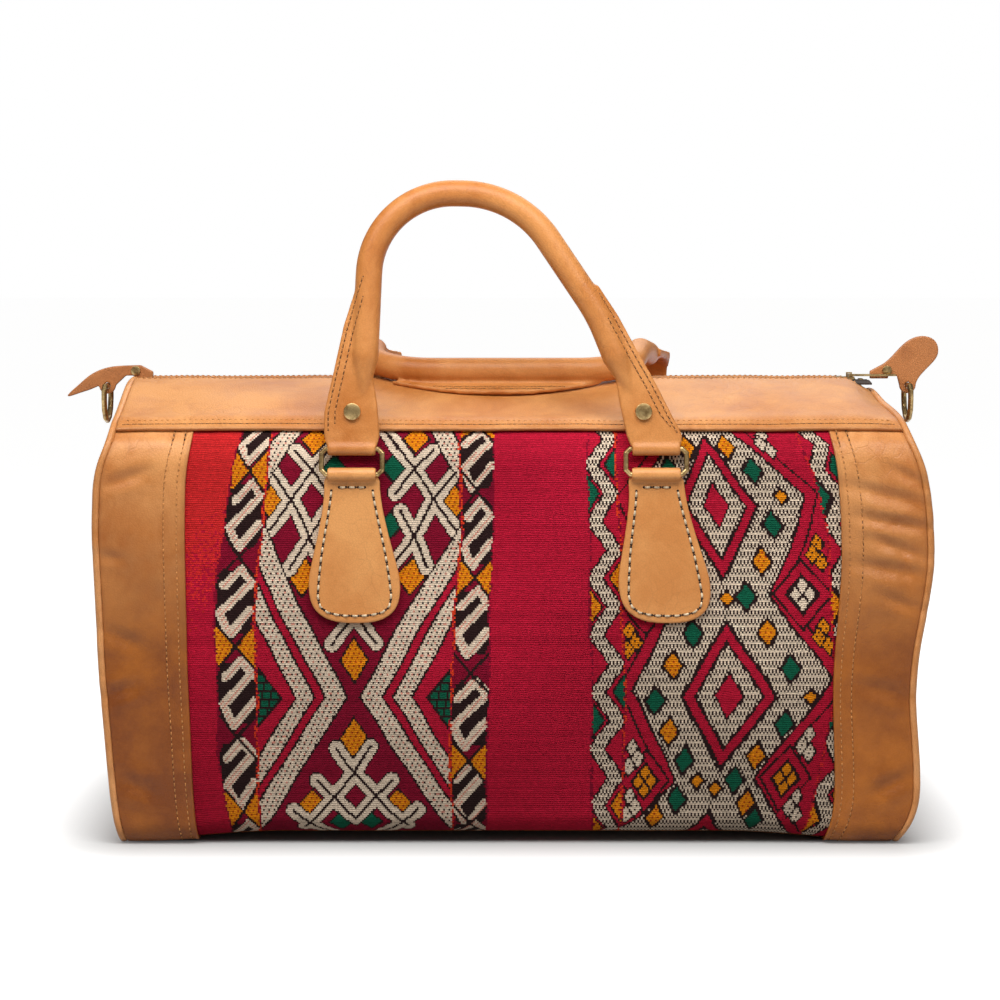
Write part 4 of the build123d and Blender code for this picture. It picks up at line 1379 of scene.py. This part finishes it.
    def welt(self, end: End, out: float = 2.0, width: float = 2.35, height: float = 2.25,
             sides: int = 12) -> None:
        """The folded welt that is sewn into one end seam.

        Args:
            end: The end of the bag.
            out: How far it stands past the seam.
            width: Half its thickness along the bag.
            height: Half its thickness across the seam.
            sides: Count of its facets.
        """
        _, anchor, normal = self.round_section(self.half_length * end.value, HIDE, 480)
        line = self.sag.move(anchor, normal) + (out * end.value, 0, 0)
        turns = 2 * math.pi * np.arange(sides) / sides
        co = [line + normal * (height * math.cos(t)) + (width * math.sin(t), 0, 0) for t in turns]
        grid = np.arange(sides * len(line)).reshape(sides, -1)
        made = mesh_object(f"welt_{word(end)}", np.vstack(co) * MM, ring_quads(np.vstack([grid, grid[:1]])))
        face_out(made)
        put_attribute(made, "edge", np.ones(len(made.data.vertices)))
        dress(made, [self.finishes.welt], "leather_edge", "root", f"end_piping_{word(end)}")

    def inside(self) -> None:
        """The lining, a sleeve with two end walls, and the board on its floor."""
        top = self.section.length - 10.0
        xs, ways = spaced(-228.0, 228.0, 6.0), spaced(-top, top, 5.0)
        sleeve = self.sheets.build("lining_cloth", xs, ways, 5.0, 0.9, leather=CLOTH_CREASING,
                                   round_rim=False)
        walls = [self.fan(f"lining_wall_{word(end)}", end, 226.0, 5.5, 2.0, 14) for end in End]
        dress(join(sleeve, *walls), [self.finishes.lining], "lining", "root", "lining")
        board = self.sheets.build("base_stiffener", spaced(-215.0, 215.0, 8.0, self.rim),
                                  spaced(-72.0, 72.0, 8.0, self.rim), 6.4, 3.0, leather=0.3)
        dress(board, [self.finishes.board], "board", "root", "base_board")

    def build(self) -> None:
        """Every part of the body, in sewing order."""
        for side in Side:
            self.wool(side)
        self.strips()
        self.base()
        self.roof()
        self.ends()
        self.inside()
        MACHINE.sew("body_stitches", self.seams, self.finishes.thread, self.finishes.hole, "root")


@dataclass
class Chapes:
    """The bell-shaped tabs that hold the handle rings, sewn by hand with waxed thread.

    The outline is the row of stitches on one half: distance from the middle and height. A place is
    the tab's middle along the bag and how far its foot leans.
    """

    finishes: Finishes
    outline: tuple[tuple[float, float], ...] = (
        (12.2, 212.0), (12.9, 205.8), (14.7, 195.7), (16.8, 185.0), (19.0, 173.0), (21.0, 157.8),
        (21.8, 148.5), (20.6, 142.4), (16.0, 138.8), (8.0, 137.2), (0.0, 136.9))
    places: tuple[tuple[Side, End, float, float], ...] = (
        (Side.FRONT, End.LEFT, -95.6, 2.0), (Side.FRONT, End.RIGHT, 85.0, 6.7),
        (Side.REAR, End.LEFT, -REAR_BAR_X, 0.0), (Side.REAR, End.RIGHT, REAR_BAR_X, 0.0))
    top: float = 217.0
    fall: float = 84.6
    face_y: float = 107.0

    def build(self) -> None:
        """Softens each tab and sews it."""
        for side, end, x, lean in self.places:
            made = soften(f"{word(side)}_chape_{word(end)}", f"tab_{word(side)}_{word(end)}", 0.75, 5, True)
            dress(made, [self.finishes.pale], "leather", "root", f"{word(side)}_chape_{word(end)}")
            y = self.face_y * side.value
            line = [*self.outline, *((-h, z) for h, z in reversed(self.outline[:-1]))]
            path = np.array([(x + h + lean * (self.top - z) / self.fall, y, z) for h, z in line])
            across = np.linspace(-10.5, 10.5, 12)
            head = np.array([(x + h + lean * 4.0 / self.fall, y, 213.2) for h in across])
            surface = Surface.of(made)
            laid = [surface.lay(densify(p), (0, -side.value, 0)) for p in (path, head)]
            name = f"tab_stitches_{word(side)}_{word(end)}"
            HAND.sew(name, laid, self.finishes.waxed, self.finishes.hole, "root")


@dataclass
class Handles:
    """The two rolled handles with their flat ends, flanges and machine rows.

    A strap edge is the line of one row of stitches, as places in the front handle's own plane.
    """

    finishes: Finishes
    left_edge: tuple[tuple[float, float], ...] = (
        (-109.6, 9), (-109.6, 22), (-104.6, 45), (-98.9, 70), (-92.5, 92), (-88.4, 104))
    right_edge: tuple[tuple[float, float], ...] = (
        (97.6, 9), (91.6, 20), (82.9, 37), (71.2, 57.6), (60.4, 77.6), (51, 93))
    row_gap: float = 4.0
    strap_end: float = 12.0

    def roll(self, side: Side) -> Surface:
        """One handle's leather, and its surface for the thread."""
        name = f"handle_{word(side)}"
        made = soften(name, f"{name}_leather", 1.0, 9, False)
        dress(made, [self.finishes.rolled], "leather", f"{word(side)}_handle", name)
        return Surface.of(made)

    def front_rows(self, surface: Surface) -> list[tuple[Points, Points] | None]:
        """Two rows along each strap of the front handle, on its face and on its back."""
        across = np.array([0, math.cos(HANDLE_LEAN), -math.sin(HANDLE_LEAN)])
        paths = []
        for line, turn in ((self.left_edge, 1), (self.right_edge, -1)):
            inner = [(u + turn * self.row_gap, v + self.row_gap * (v < self.strap_end)) for u, v in line[:-1]]
            for row in (line, inner):
                path = densify(np.array([on_front(u, v, 0.0) for u, v in row]))
                paths += [surface.lay(path, toward * across, 25.0) for toward in (1, -1)]
        return paths

    def rear_rows(self, surface: Surface) -> list[tuple[Points, Points] | None]:
        """Two rows along the flange of the rear grip, and one beside each edge of the straps."""
        along = np.linspace(-50.0, 36.0, 70)
        bow = 2.5 * (1 - ((along + 7) / 56) ** 2)
        paths = [surface.lay(np.stack([along, -run - bow, np.full(70, 275.0)], -1), (0, 0.25, -1), 10.0)
                 for run in (42.5, 45.8)]
        for x in (-REAR_BAR_X, REAR_BAR_X):
            for reach in (-13.8, 13.8):
                line = np.array([(x + reach, 113.0, z) for z in np.linspace(243, 268, 30)])
                paths.append(surface.lay(line, (0, -1, 0), 20.0))
        return paths

    def build(self) -> None:
        """Both handles and their stitches."""
        for side, rows in ((Side.FRONT, self.front_rows), (Side.REAR, self.rear_rows)):
            paths = rows(self.roll(side))
            MACHINE.sew(f"handle_{word(side)}_stitches", paths, self.finishes.thread, self.finishes.hole,
                        f"{word(side)}_handle")


@dataclass
class EndTabs:
    """The darker tongues at the ends of the zip."""

    finishes: Finishes

    def build(self) -> None:
        """Softens both tongues."""
        for end in End:
            made = soften(f"end_tab_{word(end)}", f"tongue_{word(end)}", 0.6, 5, True)
            dress(made, [self.finishes.dark], "dark_leather", "root", f"end_tab_{word(end)}")


@dataclass
class Rivets:
    """Domed rivet heads, modelled once for each size and copied."""

    finishes: Finishes
    strap_size: tuple[float, float] = (5.0, 2.2)
    tongue_size: tuple[float, float] = (3.0, 1.3)
    strap_half: float = 2.3
    tongue_half: float = 1.7
    up: float = 22.0

    def head(self, radius: float, rise: float) -> Thing:
        """One head at the origin that faces +Z: a low dome inside a turned rim."""
        bpy.ops.object.select_all(action="DESELECT")
        bpy.ops.mesh.primitive_cylinder_add(vertices=32, radius=radius * MM, depth=rise * MM,
                                            location=(0, 0, rise * MM / 2))
        made = bpy.context.active_object
        bpy.ops.object.transform_apply(location=True, rotation=True, scale=True)
        bpy.ops.object.mode_set(mode="EDIT")
        bm = bmesh.from_edit_mesh(made.data)
        for f in bm.faces:
            f.select = f.normal.z > 0.9
        bm.select_flush_mode()
        bmesh.update_edit_mesh(made.data)
        for inset, step in ((0.16, 0.0), (0.08, -0.12), (0.20, 0.28), (0.24, 0.14)):
            bpy.ops.mesh.inset(thickness=inset * radius * MM, depth=step * rise * MM)
        bpy.ops.mesh.select_all(action="DESELECT")
        bm = bmesh.from_edit_mesh(made.data)
        for e in bm.edges:
            e.select = len(e.link_faces) == 2 and e.calc_face_angle(0.0) > 1.2
        bmesh.update_edit_mesh(made.data)
        bpy.ops.mesh.bevel(offset=0.07 * radius * MM, segments=2)
        bpy.ops.object.mode_set(mode="OBJECT")
        made.data.shade_smooth()
        return made

    def set_of(self, name: str, spots: Sequence[tuple[Place, Place]], size: tuple[float, float], body: str,
               node: str) -> None:
        """Copies of one head, joined as one piece.

        Args:
            name: The piece's name.
            spots: The place and the direction of each head.
            size: A head's radius and rise.
            body: The body that it moves with.
            node: The CAD node that it stands for.
        """
        first = self.head(*size)
        parts = []
        for place, way in spots:
            parts.append(link_object(name, first.data.copy()))
            turn = Vector(way).to_track_quat("Z", "Y").to_matrix().to_4x4()
            turn.translation = Vector(place) * MM
            parts[-1].data.transform(turn)
        bpy.data.objects.remove(first)
        dress(join(*parts), [self.finishes.brass], "brass", body, node)

    def build(self) -> None:
        """The handles' and the tongues' rivets."""
        out = self.strap_half
        ahead = np.array([0, -math.cos(HANDLE_LEAN), math.sin(HANDLE_LEAN)])
        spots = [(on_front(u, self.up, sign * out), sign * ahead) for u in (-95.4, 77.5) for sign in (1, -1)]
        self.set_of("handle_front_rivets", spots, self.strap_size, "front_handle", "front_rivets")
        spots = [((x, BAR_Y + sign * out, BAR_Z + self.up), (0, sign, 0))
                 for x in (-REAR_BAR_X, REAR_BAR_X) for sign in (-1, 1)]
        self.set_of("handle_rear_rivets", spots, self.strap_size, "rear_handle", "rear_rivets")
        spots = [((x, y + sign * self.tongue_half, 277.0), (0, sign, 0))
                 for x, y in ((-238.8, 0.0), (238.8, 5.8)) for sign in (-1, 1)]
        self.set_of("tongue_rivets", spots, self.tongue_size, "root", "tab_rivets")


@dataclass
class Fittings:
    """CAD nodes that keep their own mesh and get a finish."""

    finishes: Finishes
    brass: tuple[str, ...] = (
        "front_ring_left", "front_ring_right", "rear_ring_left", "rear_ring_right", "strap_ring_left",
        "strap_ring_right", "zip_slider", "zip_pull")
    teeth: tuple[str, ...] = ("zip_stops", "zip_teeth_front", "zip_teeth_rear")
    tapes: tuple[str, ...] = ("zip_tape_front", "zip_tape_rear")

    def build(self) -> None:
        """Assigns a finish to each kept node."""
        looks = self.finishes
        groups = ((self.brass, looks.brass), (self.teeth, looks.teeth), (self.tapes, looks.tape))
        for nodes, material in groups:
            for node in nodes:
                made = bpy.data.objects[node]
                made.data.materials.clear()
                made.data.materials.append(material)
                LOG.info("%s: %s", node, material.name)


@dataclass
class Studio:
    """A pale floor, soft light and the camera, in metres."""

    camera_at: Place = (-0.0077, -1.605, 0.358)
    lens: float = 90.94
    drop: float = -0.2569
    white: tuple[float, ...] = (1, 1, 1, 1)

    def floor(self) -> None:
        """A wide pale floor that glows white to the camera away from the bag and keeps the bag's shadow;
        round the bag's footprint the glow fades out, which paints a darker contact shadow there.
        """
        bpy.ops.object.select_all(action="DESELECT")
        bpy.ops.mesh.primitive_plane_add(size=30.0, location=(0, 0, 0))
        made = bpy.context.active_object
        made.name = "floor"
        g = Graph.material("Pale floor")
        made.data.materials.append(g.surface((0.42, 0.42, 0.42, 1), 0.9))
        seen = g.add("LightPath").outputs
        mirrored = g.math("MAXIMUM", seen["Is Glossy Ray"], seen["Is Transmission Ray"])
        parts = g.add("SeparateXYZ", {0: g.place}).outputs
        squares = []
        for part, half in ((parts[0], 0.22), (parts[1], 0.085)):
            gap = g.math("MAXIMUM", g.math("SUBTRACT", g.math("ABSOLUTE", part), half), 0.0)
            squares.append(g.times(gap, gap))
        away = g.math("SQRT", g.plus(*squares))
        watched = g.math("MAXIMUM", seen["Is Camera Ray"], mirrored)
        # Painted shadow: the glow is zero within 4 mm of the bag's footprint and rises to full 75 mm away.
        strength = g.times(watched, g.span(away, 0.004, 0.075, 0.0, 0.92))
        glow = g.add("Emission", {"Color": self.white, "Strength": strength})
        total = g.add("AddShader", {0: g.shader.outputs[0], 1: glow.outputs[0]})
        g.feed(g.output.inputs, {0: total.outputs[0]})

    def world(self) -> None:
        """Even soft light, and plain white behind the bag."""
        world = bpy.data.worlds.new("Studio")
        bpy.context.scene.world = world
        world.use_nodes = True
        world.node_tree.nodes.clear()
        g = Graph(world.node_tree)
        seen = g.add("LightPath").outputs["Is Camera Ray"]
        light = g.add("Background", {"Color": (1.0, 0.985, 0.96, 1), "Strength": 0.15})
        white = g.add("Background", {"Color": self.white, "Strength": 1.0})
        mix = g.add("MixShader", {0: seen, 1: light.outputs[0], 2: white.outputs[0]})
        g.add("OutputWorld", {0: mix.outputs[0]})

    def lamp(self, name: str, place: Place, aim: Place, size: tuple[float, float], power: float,
             colour: Colour) -> None:
        """One soft oblong lamp.

        Args:
            name: The lamp's name.
            place: Where it hangs.
            aim: The point that it lights.
            size: Its width and height.
            power: Its power, in watts.
            colour: Its colour.
        """
        data = bpy.data.lights.new(name, "AREA")
        data.shape = "RECTANGLE"
        data.size, data.size_y = size
        data.energy = power
        data.color = colour
        made = link_object(name, data)
        made.location = place
        made.rotation_euler = (Vector(aim) - Vector(place)).to_track_quat("-Z", "Y").to_euler()

    def camera(self) -> None:
        """The camera at the photo's angle: level, with a dropped lens so that uprights stay upright."""
        data = bpy.data.cameras.new("camera")
        data.sensor_width = 36.0
        data.lens = self.lens
        data.shift_y = self.drop
        made = link_object("camera", data)
        made.location = self.camera_at
        made.rotation_euler = (math.pi / 2, 0.0, 0.0)
        bpy.context.scene.camera = made

    def build(self) -> None:
        """The whole studio."""
        self.camera()
        self.floor()
        self.world()
        self.lamp("key", (-0.06, -0.58, 0.95), (0, -0.10, 0.22), (1.30, 0.50), 14.2, (1.0, 0.99, 0.965))
        self.lamp("fill", (1.5, -1.3, 0.7), (0, 0, 0.15), (1.2, 1.2), 2.2, (0.97, 0.98, 1.0))
        self.lamp("back", (0.2, 0.9, 1.1), (0, 0, 0.2), (1.2, 1.0), 6.5, (1.0, 0.99, 0.97))
        bpy.context.scene.view_settings.view_transform = "Standard"


def main() -> None:
    """Builds the bag's looks round its frame."""
    logging.basicConfig(level=logging.INFO, format="%(name)s: %(message)s")
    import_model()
    Studio().build()
    finishes = Finishes()
    for part in (Body, Chapes, Handles, EndTabs, Rivets, Fittings):
        part(finishes).build()
    bpy.context.view_layer.update()


if __name__ == "__main__":
    main()
